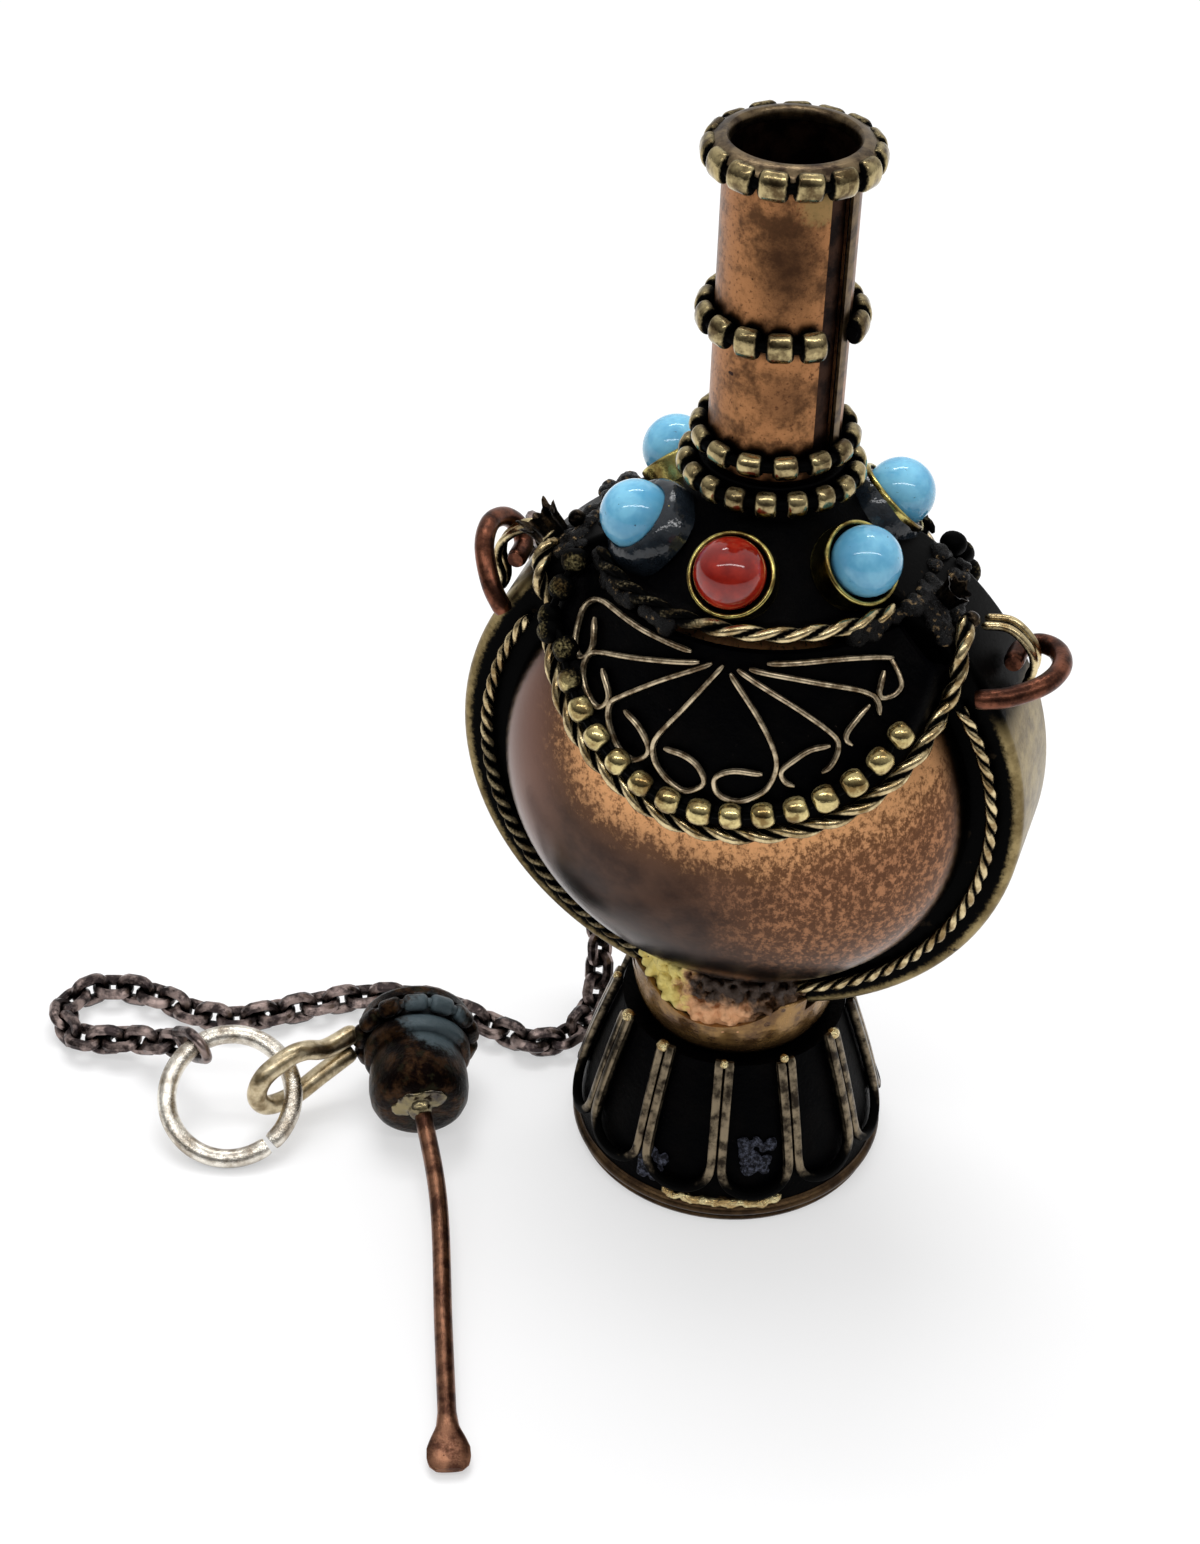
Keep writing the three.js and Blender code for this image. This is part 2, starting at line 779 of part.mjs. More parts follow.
function beadedRing(innerRadius, z, bead, opening = 0) {
  const steps = stepsPerBead * ringBeadCount;
  const radius = innerRadius + solderGap + bead / 2;
  const start = seamAngle + opening / 2;
  const sweep = 360 - opening;
  const closed = opening === 0;
  const points = range(closed ? steps : steps + 1).map((i) =>
    aroundAxis(radius, z, start + (sweep * i) / steps),
  );
  return wire(points, { radius: beaded(bead), facing: upwards, closed });
}

function makeNeck() {
  const tubeProfile = [
    [boreRadius, tubeBottomZ],
    [tubeRadius, tubeBottomZ],
    [tubeRadius, neckTopZ],
    [boreRadius, neckTopZ],
  ];
  add("neck_tube", turned(tubeProfile, 24), darkCopper);
  const halfSeam = radToDeg(seamWidth / 2 / sleeveRadius);
  const seamRight = seamAngle + halfSeam;
  const seamLeft = seamAngle + 360 - halfSeam;
  const sleeve = rolledSheet(sleeveInner, sleeveRadius, seamRight, seamLeft, sleeveBottomZ, neckTopZ, 14);
  add("neck_sleeve", sleeve, copper);
  const stripEnd = seamRight + radToDeg(stripWidth / sleeveRadius);
  const stripInner = sleeveRadius + solderGap / 2;
  const stripOuter = stripInner + stripWall;
  const lowerRingZ = collarZ + lowerRingRise;
  const upperRingZ = collarTopZ + upperRingRise;
  const mouthRingZ = neckTopZ - mouthRingDrop;
  const stripBottomZ = upperRingZ + stripRise;
  const stripTopZ = neckTopZ - stripTopDrop;
  const strip = rolledSheet(stripInner, stripOuter, seamRight, stripEnd, stripBottomZ, stripTopZ, 1);
  add("neck_seam_strip", strip, antiqueBrass);
  add("neck_ring_lower", beadedRing(collarRadius, lowerRingZ, lowerRingBead), antiqueBrass);
  add("neck_ring_upper", beadedRing(sleeveRadius, upperRingZ, upperRingBead), antiqueBrass);
  add("neck_mid_ring", beadedRing(sleeveRadius, midRingZ, midRingBead, midRingOpening), antiqueBrass);
  add("mouth_ring", beadedRing(stripOuter, mouthRingZ, mouthRingBead), antiqueBrass);
}

function makeMouthLip() {
  const bevel = lipHeight / 3;
  const profile = [
    [boreRadius, neckTopZ],
    [lipRadius, neckTopZ],
    [lipRadius, neckTopZ + lipHeight - bevel],
    [lipRadius - bevel, neckTopZ + lipHeight],
    [boreRadius + bevel, neckTopZ + lipHeight],
    [boreRadius, neckTopZ + lipHeight - bevel],
  ];
  const lip = turned(profile, 24);
  add("mouth_lip", lip, antiqueBrass);
}

// Side fittings

// One wire bent double: out over the band and down, across, and back up beside itself.
function eyeStaple(side) {
  const row = (y) => eyeBends.map(([x, z]) => vec(side * x, y, z));
  const half = eyeRowPitch / 2;
  const points = [...row(-half), ...row(half).reverse()];
  const fromBody = (point) => vec(point.x, 0, point.z - bodyZ);
  return wire(points, { radius: round(eyeWire), facing: fromBody, sides: 6 });
}

// An opened ring hooked through the eye: [outwards, towards the back] from the eye's hole.
function copperRing(side) {
  const curve = new THREE.CatmullRomCurve3(ringBends.map(([out, back]) => vec(side * out, back, 0)));
  return wire(curve.getPoints(16), { radius: round(ringWire), facing: upwards, sides: 6 });
}

// A small fluted cup that widens to its rim.
function crown() {
  const corners = 2 * crownFlutes;
  const outline = (share, z) =>
    range(corners).flatMap((i) => {
      const radius = crownRadius * share * (i % 2 === 0 ? 1 : 0.8);
      const turn = (i / corners) * TURN;
      return [radius * Math.cos(turn), radius * Math.sin(turn), z];
    });
  const positions = [...outline(0.72, 0), ...outline(1, crownHeight), 0, 0, 0, 0, 0, crownHeight * 0.7];
  const faces = range(corners).flatMap((i) => {
    const next = (i + 1) % corners;
    const foot = [2 * corners, next, i];
    const rim = [2 * corners + 1, corners + i, corners + next];
    return [...foot, i, next, corners + next, i, corners + next, corners + i, ...rim];
  });
  return meshed(positions, faces);
}

function onBand(geometry, height, angle, forward) {
  const turn = degToRad(angle);
  return geometry
    .translate(0, -forward, bandRadius + height)
    .rotateY(turn)
    .translate(0, 0, bodyZ);
}

function makeSideFittings() {
  const tilts = { left: leftRingTilt, right: rightRingTilt };
  for (const { side, crownAngle, ballAngle, forward } of sideTrim) {
    const outwards = side === "left" ? -1 : 1;
    add(`${side}_eye`, eyeStaple(outwards), antiqueBrass);
    const ring = add(`${side}_ring`, copperRing(outwards), darkCopper);
    ring.position.set(outwards * ringPivotX, 0, ringPivotZ);
    ring.rotation.y = -outwards * degToRad(tilts[side]);
    add(`${side}_crown`, onBand(crown(), solderGap, crownAngle, forward), blackened);
    const ball = new THREE.SphereGeometry(ballRadius, 8, 6);
    add(`${side}_ball`, onBand(ball, ballRadius + solderGap, ballAngle, forward), antiqueBrass);
  }
}

// Split ring: it leans back from the point where it stands on the table

const ringAcross = vec(Math.cos(degToRad(splitRingHeading)), Math.sin(degToRad(splitRingHeading)), 0);
const ringRise = vec(-ringAcross.y, ringAcross.x, 0)
  .multiplyScalar(Math.cos(degToRad(splitRingLean)))
  .add(vec(0, 0, Math.sin(degToRad(splitRingLean))));
const floorGap = 0.02; // keeps round pieces that lie on the table just above it
const splitRingZ = splitRingRadius * ringRise.z + splitRingWire / 2 + floorGap;

function onSplitRing(degrees) {
  const angle = degToRad(degrees);
  return vec(splitRingX, splitRingY, splitRingZ)
    .addScaledVector(ringAcross, splitRingRadius * Math.cos(angle))
    .addScaledVector(ringRise, splitRingRadius * Math.sin(angle));
}

function makeSplitRing() {
  const steps = 24;
  const start = splitGapPlace + splitGapAngle / 2;
  const points = range(steps + 1).map((i) => onSplitRing(start + ((360 - splitGapAngle) * i) / steps));
  const facing = () => ringAcross.clone().cross(ringRise);
  add("split_ring", wire(points, { radius: round(splitRingWire), facing, sides: 6 }), silver);
}

// Stopper: modelled upright with the plug down, then laid on its side

function stopperPose() {
  const heading = degToRad(stopperHeading);
  const dip = degToRad(stopperDip);
  const capwards = vec(
    -Math.sin(heading) * Math.cos(dip),
    Math.cos(heading) * Math.cos(dip),
    Math.sin(dip),
  );
  const eyewards = vec(-Math.cos(heading), -Math.sin(heading), 0);
  const top = capwards.clone().cross(eyewards);
  const pose = new THREE.Group();
  pose.quaternion.setFromRotationMatrix(new THREE.Matrix4().makeBasis(eyewards, top, capwards));
  const height = stopperRingRadius * Math.cos(dip) + stopperRingBead / 2 + floorGap;
  pose.position.set(stopperX, stopperY, height);
  return pose;
}

function makePlugAndCap(pose) {
  const ringHalf = stopperRingBead / 2;
  const plugProfile = [
    [0, -plugLength],
    [plugTipRadius - seatGap, -plugLength],
    [plugTipRadius, seatGap - plugLength],
    [plugTopRadius, -ringHalf - solderGap],
    [0, -ringHalf - solderGap],
  ];
  add("stopper_plug", turned(plugProfile, 20), bronze, pose);
  const steps = stepsPerBead * stopperRingCount;
  const points = range(steps).map((i) => aroundAxis(stopperRingRadius, 0, (360 * i) / steps));
  const beads = wire(points, {
    radius: beaded(stopperRingBead),
    facing: upwards,
    sides: 5,
    closed: true,
  });
  add("stopper_bead_ring", beads, bronze, pose);
  const stem = stopperRingRadius - ringHalf - seatGap;
  const capProfile = [
    [0, seatGap - ringHalf],
    [stem, seatGap - ringHalf],
    [stem, ringHalf + solderGap],
    [capRadius, ringHalf + solderGap],
    [capRadius, capHeight],
    [capRadius * 0.7, capHeight + capDome * 0.8],
    [0, capHeight + capDome],
  ];
  add("stopper_cap", turned(capProfile, 20), bronze, pose);
}

// The eye's wire leaves the bead ring and closes round the split ring.
function makeStopperEye(pose) {
  const middle = pose.worldToLocal(onSplitRing(eyePlaceOnRing));
  const root = vec(stopperRingRadius + stopperRingBead / 2 + seatGap + solderGap / 2, 0, 0);
  const ahead = middle.clone().sub(root).normalize();
  const tall = vec(0, 1, 0).projectOnPlane(ahead).normalize();
  const place = ([along, up]) => middle.clone().addScaledVector(ahead, along).addScaledVector(tall, up);
  const curve = new THREE.CatmullRomCurve3([root, ...stopperEyeBends.map(place)]);
  const facing = () => ahead.clone().cross(tall);
  const eye = wire(curve.getPoints(18), { radius: round(stopperEyeWire), facing, sides: 6 });
  add("stopper_eye", eye, antiqueBrass, pose);
}

function makeDipper(pose) {
  const curve = new THREE.CatmullRomCurve3(dipperBends.map((bend) => vec(...bend)));
  const length = curve.getLength();
  const sections = [
    [0, dipperWire, dipperWire],
    [length * 0.25, dipperWire, dipperWire],
    [length * 0.5, dipperWire, dipperWire],
    [length * 0.75, dipperWire, dipperWire],
    [length - spoonLength * 1.25, dipperWire, dipperWire],
    [length - spoonLength * 0.8, lerp(dipperWire, spoonWidth, 0.7), lerp(dipperWire, spoonThickness, 0.7)],
    [length - spoonLength * 0.45, spoonWidth, spoonThickness],
    [length - spoonLength * 0.12, spoonWidth * 0.85, spoonThickness * 0.9],
    [length, spoonWidth * 0.5, spoonThickness * 0.8],
  ];
  const points = sections.map(([distance]) => curve.getPointAt(distance / length));
  const radius = (i) => [sections[i][1] / 2, sections[i][2] / 2];
  const dipper = wire(points, { radius, facing: () => vec(0, 1, 0), sides: 8 });
  add("dipper", dipper, bronze, pose);
}

function makeStopper() {
  const pose = stopperPose();
  bottle.add(pose);
  pose.updateMatrixWorld(true);
  makePlugAndCap(pose);
  makeStopperEye(pose);
  makeDipper(pose);
}

function makeChain() {
  const section = new THREE.Shape();
  section.absarc(0, 0, chainWidth / 2, 0, TURN, false);
  const extrudePath = new THREE.CatmullRomCurve3(chainRoute.map((point) => vec(...point)));
  const chain = new THREE.ExtrudeGeometry(section, { steps: chainSteps, curveSegments: 4, extrudePath });
  add("chain", chain, gunmetal);
}

makeFoot();
makeSaddleCup();
makeBody();
makeShoulderCone();
makeStones();
makeNeck();
makeMouthLip();
makeSideFittings();
makeSplitRing();
makeStopper();
makeChain();

export default bottle;
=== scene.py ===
# A Himalayan metal snuff bottle with its stopper and chain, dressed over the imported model.
# Sizes are in millimetres until a piece is made, +Z is up and the front faces -Y.
import math

import bmesh
import bpy
import numpy as np
from mathutils import Matrix, Vector


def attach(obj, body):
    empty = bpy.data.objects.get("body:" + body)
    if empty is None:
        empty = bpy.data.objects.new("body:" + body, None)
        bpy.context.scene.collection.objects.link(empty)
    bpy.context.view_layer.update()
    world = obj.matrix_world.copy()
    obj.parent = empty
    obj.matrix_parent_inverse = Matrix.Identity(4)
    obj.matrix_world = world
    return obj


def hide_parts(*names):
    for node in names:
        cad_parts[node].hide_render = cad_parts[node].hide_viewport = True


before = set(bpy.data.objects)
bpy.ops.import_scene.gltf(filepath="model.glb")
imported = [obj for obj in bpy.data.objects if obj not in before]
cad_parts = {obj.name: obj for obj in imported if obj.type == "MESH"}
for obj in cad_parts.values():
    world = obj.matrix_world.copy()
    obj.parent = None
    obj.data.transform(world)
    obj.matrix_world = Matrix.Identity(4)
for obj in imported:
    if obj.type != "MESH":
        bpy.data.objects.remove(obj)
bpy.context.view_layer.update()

MM = 0.001
TURN = 2 * math.pi
FACES = (("front", 0), ("back", 180))
BODY_Z = 35

# Foot
FOOT_BOTTOM_RADIUS = 11.15
FOOT_TOP_RADIUS = 8.15
FOOT_BOTTOM_Z = 1.6
FOOT_TOP_Z = 12.5
FOOT_DISH_Z = 11.9
FOOT_HOLLOW_Z = 11.2
FOOT_BELLY = 0.2
FOOT_PLATE_RADIUS = 11.05
FOOT_PLATE_TOP = 0.5
FOOT_RIM_INSIDE = 10.3
FOOT_RIM_RADIUS = 11.2
FOOT_RIM_WIDEST = 11.6
PETALS = 12
PETAL_TURN = -3
PETAL_WIRE = 0.68
PETAL_TOP_Z = 13.0
PETAL_BEND_Z = 5.3
PETAL_LOWEST_Z = 2.75
# How high soldered wires stand over the sheet below
WIRE_SEAT = 0.12

# Saddle: its bowl is cut to the domes below and to the rim band between them
SADDLE_BOWL = [
    (0, 11.85), (5.9, 11.85), (6.3, 12.0), (6.65, 12.4), (6.95, 13.0), (7.2, 13.7), (7.4, 14.5), (7.55, 15.3),
    (7.62, 16.2), (7.7, 17.1), (7.6, 17.2), (7.15, 17.2), (7.0, 17.05), (6.7, 15.0), (6.2, 13.6), (0, 13.4),
]
SADDLE_CUT_Z = 22.9
SADDLE_CUT_RADIUS = 7.5
SADDLE_BAND_CUT = (20.0, 8.5)
SOLDER_RADIUS = 6.55
SOLDER_REACH = 7.4

# Body
BAND_RADIUS = 19.7
BAND_HALF_DEPTH = 4
BAND_CORNER = 0.55
BAND_SHEET = 0.6
BAND_INSIDE = 15.5
NECK_HOLE_RADIUS = 3.3
DOME_RADIUS = 16.2
DOME_HEIGHT = 9
DOME_INSIDE = (15.5, 8.3)
RIM_ROPE_RADIUS = 17.7
RIM_ROPE_WIRE = 0.85
RIM_ROPE_TWIST = 1.35
RIM_ROPE_TOP = 34

# Shields on the shoulders
BIB_TOP_Z = 50.3
BIB_TOP_HALF_WIDTH = 10.2
BIB_TOP_RADIUS = 10.7
BIB_ARC_Z = 49
BIB_HALF_WIDTH = 14.4
BIB_DROP = 11.4
BIB_END_ANGLE = 84
BIB_INSET = 0.725
BIB_LIFT = 0.8
BIB_UNDERSIDE = 0.3
BIB_ROPE_WIRE = 1.25
BIB_ROPE_TWIST = 2.2
BIB_ROPE_LEFT_END = [(-13.7, -2.2, 50.1), (-13.95, -3.3, 49.9), (-14.1, -4.3, 49.1)]
BIB_ROPE_RIGHT_END = [(14.3, -4.3, 49.1), (14.2, -3.3, 49.8), (14.0, -2.2, 50.1)]
BACK_ROPE_END_ANGLE = 70
BIB_BEADS = 19
BIB_BEAD = 1.78
BIB_BEAD_INSET = 1.95
BIB_BEAD_ENDS = (-74, 77)
BIB_BEADS_UP = [(-11.75, 46.2), (-11.65, 47.6), (-11.5, 49.0), (-11.3, 50.3)]
# The shield was cut by hand: how far its edge lies inside the even one, at angles from its lowest point
BIB_CUT = [
    (-95, 0.3), (-80, 0.6), (-70, 1.2), (-61, 1.45), (-52, 1.4), (-37, 1.1), (-25, 0.9), (-15, 0.45),
    (-5, 0.12), (5, 0), (23, -0.05), (32, -0.2), (42, -0.35), (60, -0.4), (68, -0.3), (80, 0),
]
SCROLL_WIRE = 0.42
SCROLL_SEAT = 0.05
SCROLLS = [
    [
        (-1.4, 49.8), (-4.5, 49.9), (-8.1, 49.8), (-9.7, 48.5), (-9.9, 46.6), (-9.3, 46.1), (-8.7, 46.5),
        (-8.4, 47.4), (-8.7, 48.6),
    ],
    [
        (-0.8, 49.3), (-4.5, 48.3), (-7.9, 47.1), (-8.8, 46.1), (-8.6, 44.9), (-7.4, 44.0), (-6.6, 45.0),
        (-7.4, 46.4),
    ],
    [
        (0.0, 49.4), (-3.1, 47.5), (-5.8, 45.4), (-6.5, 44.5), (-6.3, 43.2), (-5.4, 42.0), (-4.3, 41.7),
        (-3.4, 42.7), (-4.2, 44.0), (-5.4, 44.7),
    ],
    [
        (0.7, 49.4), (-1.4, 46.2), (-3.0, 43.7), (-3.0, 42.3), (-2.1, 41.2), (-0.8, 40.6), (0.4, 41.4),
        (0.0, 42.5), (-1.0, 43.1), (-2.4, 43.2),
    ],
    [
        (1.2, 49.0), (3.3, 46.4), (4.6, 44.1), (4.7, 42.6), (4.1, 41.4), (2.7, 40.6), (1.4, 40.9),
        (1.1, 42.0), (2.2, 42.7), (4.0, 42.7),
    ],
    [(1.6, 49.3), (5.1, 47.3), (7.6, 45.4), (8.2, 44.4), (8.0, 43.4), (7.5, 42.9)],
    [(7.7, 44.6), (6.6, 44.4), (5.7, 43.7), (5.1, 43.0), (5.4, 42.3), (6.0, 42.0)],
    [(2.3, 49.4), (5.4, 48.8), (8.4, 47.8), (9.8, 46.8), (10.2, 46.0)],
    [(9.5, 46.6), (8.8, 45.8), (8.5, 45.2), (8.6, 44.8), (9.0, 44.5)],
    [
        (3.3, 49.8), (6.7, 49.8), (8.8, 49.4), (10.2, 48.7), (11.2, 47.6), (10.8, 46.9), (10.1, 46.8),
        (9.8, 47.3), (9.8, 48.3),
    ],
]

# Shoulder and stones
SHOULDER = [
    (8.6, 50.7), (10.25, 50.7), (10.4, 50.85), (10.4, 51.15), (10.25, 51.3), (9.35, 51.3), (9.1, 51.45),
    (4.85, 56.0), (4.75, 56.2), (4.75, 58.3), (4.65, 58.4), (4.3, 58.4), (4.3, 55.65), (8.6, 51.3),
]
SHOULDER_ROPE_RADIUS = 10.85
SHOULDER_ROPE_Z = 51.55
SHOULDER_ROPE_WIRE = 1.15
SHOULDER_ROPE_TWIST = 2.1
STONES = 6
STONE_RADIUS = 2.3
STONE_RING_RADIUS = 8.82
STONE_RING_Z = 54.4
STONE_LEAN = 43.2
BEZEL_INSIDE = 2.48
BEZEL_OUTSIDE = 2.83
BEZEL_ROUND = 0.17
# How far the glue ran out round a stone, and how high it stands
GLUED_STONES = {2: (0.1, -0.5), 5: (0.35, -0.15)}

# Neck
COLLAR_RADIUS = 4.75
BORE_RADIUS = 3.85
TUBE_RADIUS = 4.0
TUBE_BOTTOM_Z = 55
SLEEVE_RADIUS = 4.25
SLEEVE_SHEET = 0.2
SLEEVE_BOTTOM_Z = 58.6
NECK_TOP_Z = 79.2
SEAM_ANGLE = 62
SEAM_HALF_WIDTH = 0.45
STRIP_BOTTOM_Z = 60
STRIP_HEIGHT = 17.6
STRIP_LIFT = 0.175
LIP = [
    (BORE_RADIUS, NECK_TOP_Z - 0.1), (5.1, NECK_TOP_Z - 0.1), (5.15, 79.4), (5.0, 79.65), (4.6, 79.88),
    (4.3, 79.98), (4.1, 79.98), (3.95, 79.85), (BORE_RADIUS, 79.6),
]

# Side fittings
EYE_BENDS = [(14.75, 48.75), (16.6, 48.9), (18.1, 47.6), (18.45, 46.2), (18.1, 45.0), (18.15, 44.05)]
EYE_WIRE = 0.58
RING_BENDS = [
    (-1.5, -5), (0.5, -4.6), (2.5, -3), (3.2, -0.9), (2.6, 1), (1.3, 1.9), (0.2, 1.3), (0, 0), (0, -0.7),
]
RING_HINGE = (17.12, 46.43)
RING_WIRE = 1.34
CROWN_PETALS = 7
CROWN_FLUTE = 0.16
CROWN_HEIGHT = 2.1
# Radius, height and how deep the flutes are there: up the outside and down the inside
CROWN_RINGS = [
    (0.6, 0.0, 0), (0.85, 0.05, 0.5), (0.95, 0.6, 1), (1.02, 1.2, 1.2), (1.25, 1.95, 1.5),
    (1.1, 1.9, 1.5), (0.85, 1.2, 1), (0.7, 0.8, 0.6), (0.3, 0.6, 0),
]
SMALL_BALL_RADIUS = 0.6
SIDE_SEAT = 0.1
# Each side's direction, ring tilt, angles of crown and ball round the band, their place forward, and the
# crown's size and how torn it is
SIDES = (
    ("left", -1, 57, -45, -38.5, 1, 1.25, 0.45),
    ("right", 1, 12, 38, 44, 1.5, 0.85, 0.15),
)

# Split ring
SPLIT_RING_CENTRE = np.array([-34.3, -14.5, 3.382])
SPLIT_RING_RADIUS = 4.7
SPLIT_RING_WIRE = 1.4
SPLIT_RING_GAP_ANGLE = -48
SPLIT_RING_HEADING = math.radians(17.6)
SPLIT_RING_TILT = math.radians(34.5)
RING_ACROSS = np.array([math.cos(SPLIT_RING_HEADING), math.sin(SPLIT_RING_HEADING), 0])
RING_RISE = np.array([-RING_ACROSS[1], RING_ACROSS[0], 0]) * math.cos(SPLIT_RING_TILT)
RING_RISE = RING_RISE + np.array([0, 0, math.sin(SPLIT_RING_TILT)])

# Stopper, modelled upright with its plug down
STOPPER_HEADING = math.radians(24)
STOPPER_DIP = math.radians(7.5)
STOPPER_PLACE = (-23.1, -5.2)
PLUG = [
    (0, -6.9), (2.3, -6.9), (2.9, -6.75), (3.3, -6.4), (3.6, -5.8), (3.72, -4.9), (3.7, -4.0), (3.6, -3.1),
    (3.4, -2.5), (3.45, -2.2), (3.85, -2.1), (4.0, -1.9), (4.0, -1.1), (3.85, -0.85), (0, -0.76),
]
CAP = [
    (0, -0.3), (3.2, -0.3), (3.25, 0.72), (4.0, 0.76), (4.18, 0.9), (4.2, 1.5), (4.1, 1.72), (3.6, 1.95),
    (2.9, 2.2), (1.8, 2.35), (0, 2.4),
]
STOPPER_RING_RADIUS = 4.15
STOPPER_BEAD_BULGE = 0.62
STOPPER_BEADS = 13
STOPPER_BEAD = (1.8, 1.4, 1.25)
EYE_ANGLE_ON_RING = 20.0
EYE_ROOT = np.array([4.6, 0.2, 0])
EYE_ON_RING = [(-3.2, 0.9), (-1.5, 2.0), (0, 2.35), (2.2, 1.7), (3, 0), (2.2, -1.7), (0, -2.3), (-2.3, -1.8)]
STOPPER_EYE_WIRE = 1.5
DIPPER_BENDS = [(0, 0.2, -5.9), (-0.94, 0.25, -15.2), (-0.77, 0.3, -26.5), (-0.6, 0.9, -37.9)]
# The spoon at the dipper's end: distance from the tip, width and thickness
SPOON = np.array([
    (0, 1.9, 0.5), (0.25, 2.6, 0.62), (0.9, 3.0, 0.7), (1.8, 2.95, 0.72), (2.6, 2.35, 0.9), (3.4, 1.6, 1.15),
    (4.6, 1.3, 1.3),
])
DIPPER_SOLDER = [
    ((0.4, 0.8, -6.9), (1.4, 1.3, 0.35)), ((-0.9, 1.3, -6.85), (1.1, 1.0, 0.3)),
    ((1.2, 0.3, -6.85), (1.0, 0.9, 0.3)), ((0, 0.5, -7.3), (0.9, 0.9, 0.6)),
]

# Chain
CHAIN_WIDTH = 2.6
CHAIN_WIRE = 0.88
CHAIN_LINK = 3.3
CHAIN_PITCH = 1.75
CHAIN_LEAN = 42
CHAIN_ROUTE = [
    (-17.5, 3.6, 46.9), (-17.6, 5.5, 44.3), (-17.4, 6.7, 40.2), (-16.9, 7.3, 33.5), (-16.1, 8.0, 26.0),
    (-15.3, 8.9, 18.0), (-14.3, 10.0, 10.0), (-13.7, 10.1, 5.6), (-13.3, 9.1, 2.7), (-13.0, 7.0, 1.5),
    (-13.1, 4.6, 1.3), (-13.9, 2.2, 1.3), (-15.9, 1.1, 1.3), (-18.5, 1.4, 1.3), (-21.5, 2.2, 1.3),
    (-25.0, 2.7, 1.3), (-28.5, 2.0, 1.3), (-31.4, 0.6, 1.3), (-35.0, -2.1, 1.3), (-38.3, -4.4, 1.3),
    (-41.5, -5.0, 1.3), (-44.4, -4.4, 1.3), (-47.5, -4.2, 1.3), (-50.2, -5.1, 1.3), (-51.4, -7.5, 1.3),
    (-50.4, -9.9, 1.4), (-48.0, -10.8, 1.6), (-45.2, -10.2, 1.9), (-42.8, -10.2, 2.5), (-40.8, -10.8, 3.4),
    (-39.0, -11.4, 4.4),
]
# The larger link that ties the chain to the split ring
RING_LINK_ANGLE = 127
RING_LINK_WIRE = 0.8
RING_LINK_HALF_WIDTH = 1.25
RING_LINK_PLAY = 0.25
CHAIN_LINK_PLAY = 0.05


# Tools for making pieces

# Each strand of a rope, as a share of the rope's width, and its sides
STRAND_SHARE = 0.56
STRAND_SIDES = 10


def select_only(*pieces):
    for thing in bpy.context.selected_objects:
        thing.select_set(False)
    for piece in pieces:
        piece.select_set(True)
        bpy.context.view_layer.objects.active = piece


def settle(piece):
    """Leaves the piece's object at the origin, with its place in its mesh."""
    select_only(piece)
    bpy.ops.object.transform_apply(location=True, rotation=True, scale=True)
    return piece


def smooth_shaded(piece, angle=40):
    select_only(piece)
    bpy.ops.object.shade_smooth_by_angle(angle=math.radians(angle))
    return piece


def spun(name, profile, steps=96, about="Z", angle=40):
    """A profile of (radius, height) drawn point by point and spun about the neck's or the body's axis."""
    def place(radius, height):
        if about == "Z":
            return Vector((radius, 0, height)) * MM
        return Vector((radius, height, BODY_Z)) * MM

    places = [place(*point) for point in profile]
    select_only()
    bpy.ops.mesh.primitive_plane_add(size=MM, location=places[0])
    piece = bpy.context.object
    piece.name = name
    bpy.ops.object.mode_set(mode="EDIT")
    bpy.ops.mesh.select_all(action="SELECT")
    bpy.ops.mesh.merge(type="CENTER")
    for before, after in zip(places, places[1:]):
        bpy.ops.mesh.extrude_region_move(TRANSFORM_OT_translate={"value": after - before})
    if profile[0][0] > 0:
        drawn = bmesh.from_edit_mesh(piece.data)
        ends = [vertex for vertex in drawn.verts if len(vertex.link_edges) == 1]
        drawn.edges.new(ends)
        bmesh.update_edit_mesh(piece.data)
    bpy.ops.mesh.select_all(action="SELECT")
    centre = (0, 0, 0) if about == "Z" else (0, 0, BODY_Z * MM)
    axis = (0, 0, 1) if about == "Z" else (0, 1, 0)
    bpy.ops.mesh.spin(steps=steps, angle=TURN, center=centre, axis=axis)
    bpy.ops.mesh.select_all(action="SELECT")
    bpy.ops.mesh.remove_doubles(threshold=1e-6)
    bpy.ops.mesh.normals_make_consistent(inside=False)
    bpy.ops.object.mode_set(mode="OBJECT")
    return smooth_shaded(settle(piece), angle)


def arc(centre, radius, start, end, steps=6):
    """Profile points on a round, from one angle to another in degrees."""
    angles = np.radians(np.linspace(start, end, steps + 1))
    return [(centre[0] + radius * math.cos(a), centre[1] + radius * math.sin(a)) for a in angles]


def circle(diameter, sides=12):
    turns = (np.arange(sides) + 0.5) * TURN / sides
    return np.stack([np.cos(turns), np.sin(turns)], 1) * diameter / 2


def flattened(width, height, sides=16, squareness=0.55):
    """A section between a round and a rectangle: the smaller the last number, the squarer."""
    turns = (np.arange(sides) + 0.5) * TURN / sides
    x, y = np.cos(turns), np.sin(turns)
    x, y = np.sign(x) * np.abs(x) ** squareness, np.sign(y) * np.abs(y) ** squareness
    return np.stack([x * width / 2, y * height / 2], 1)


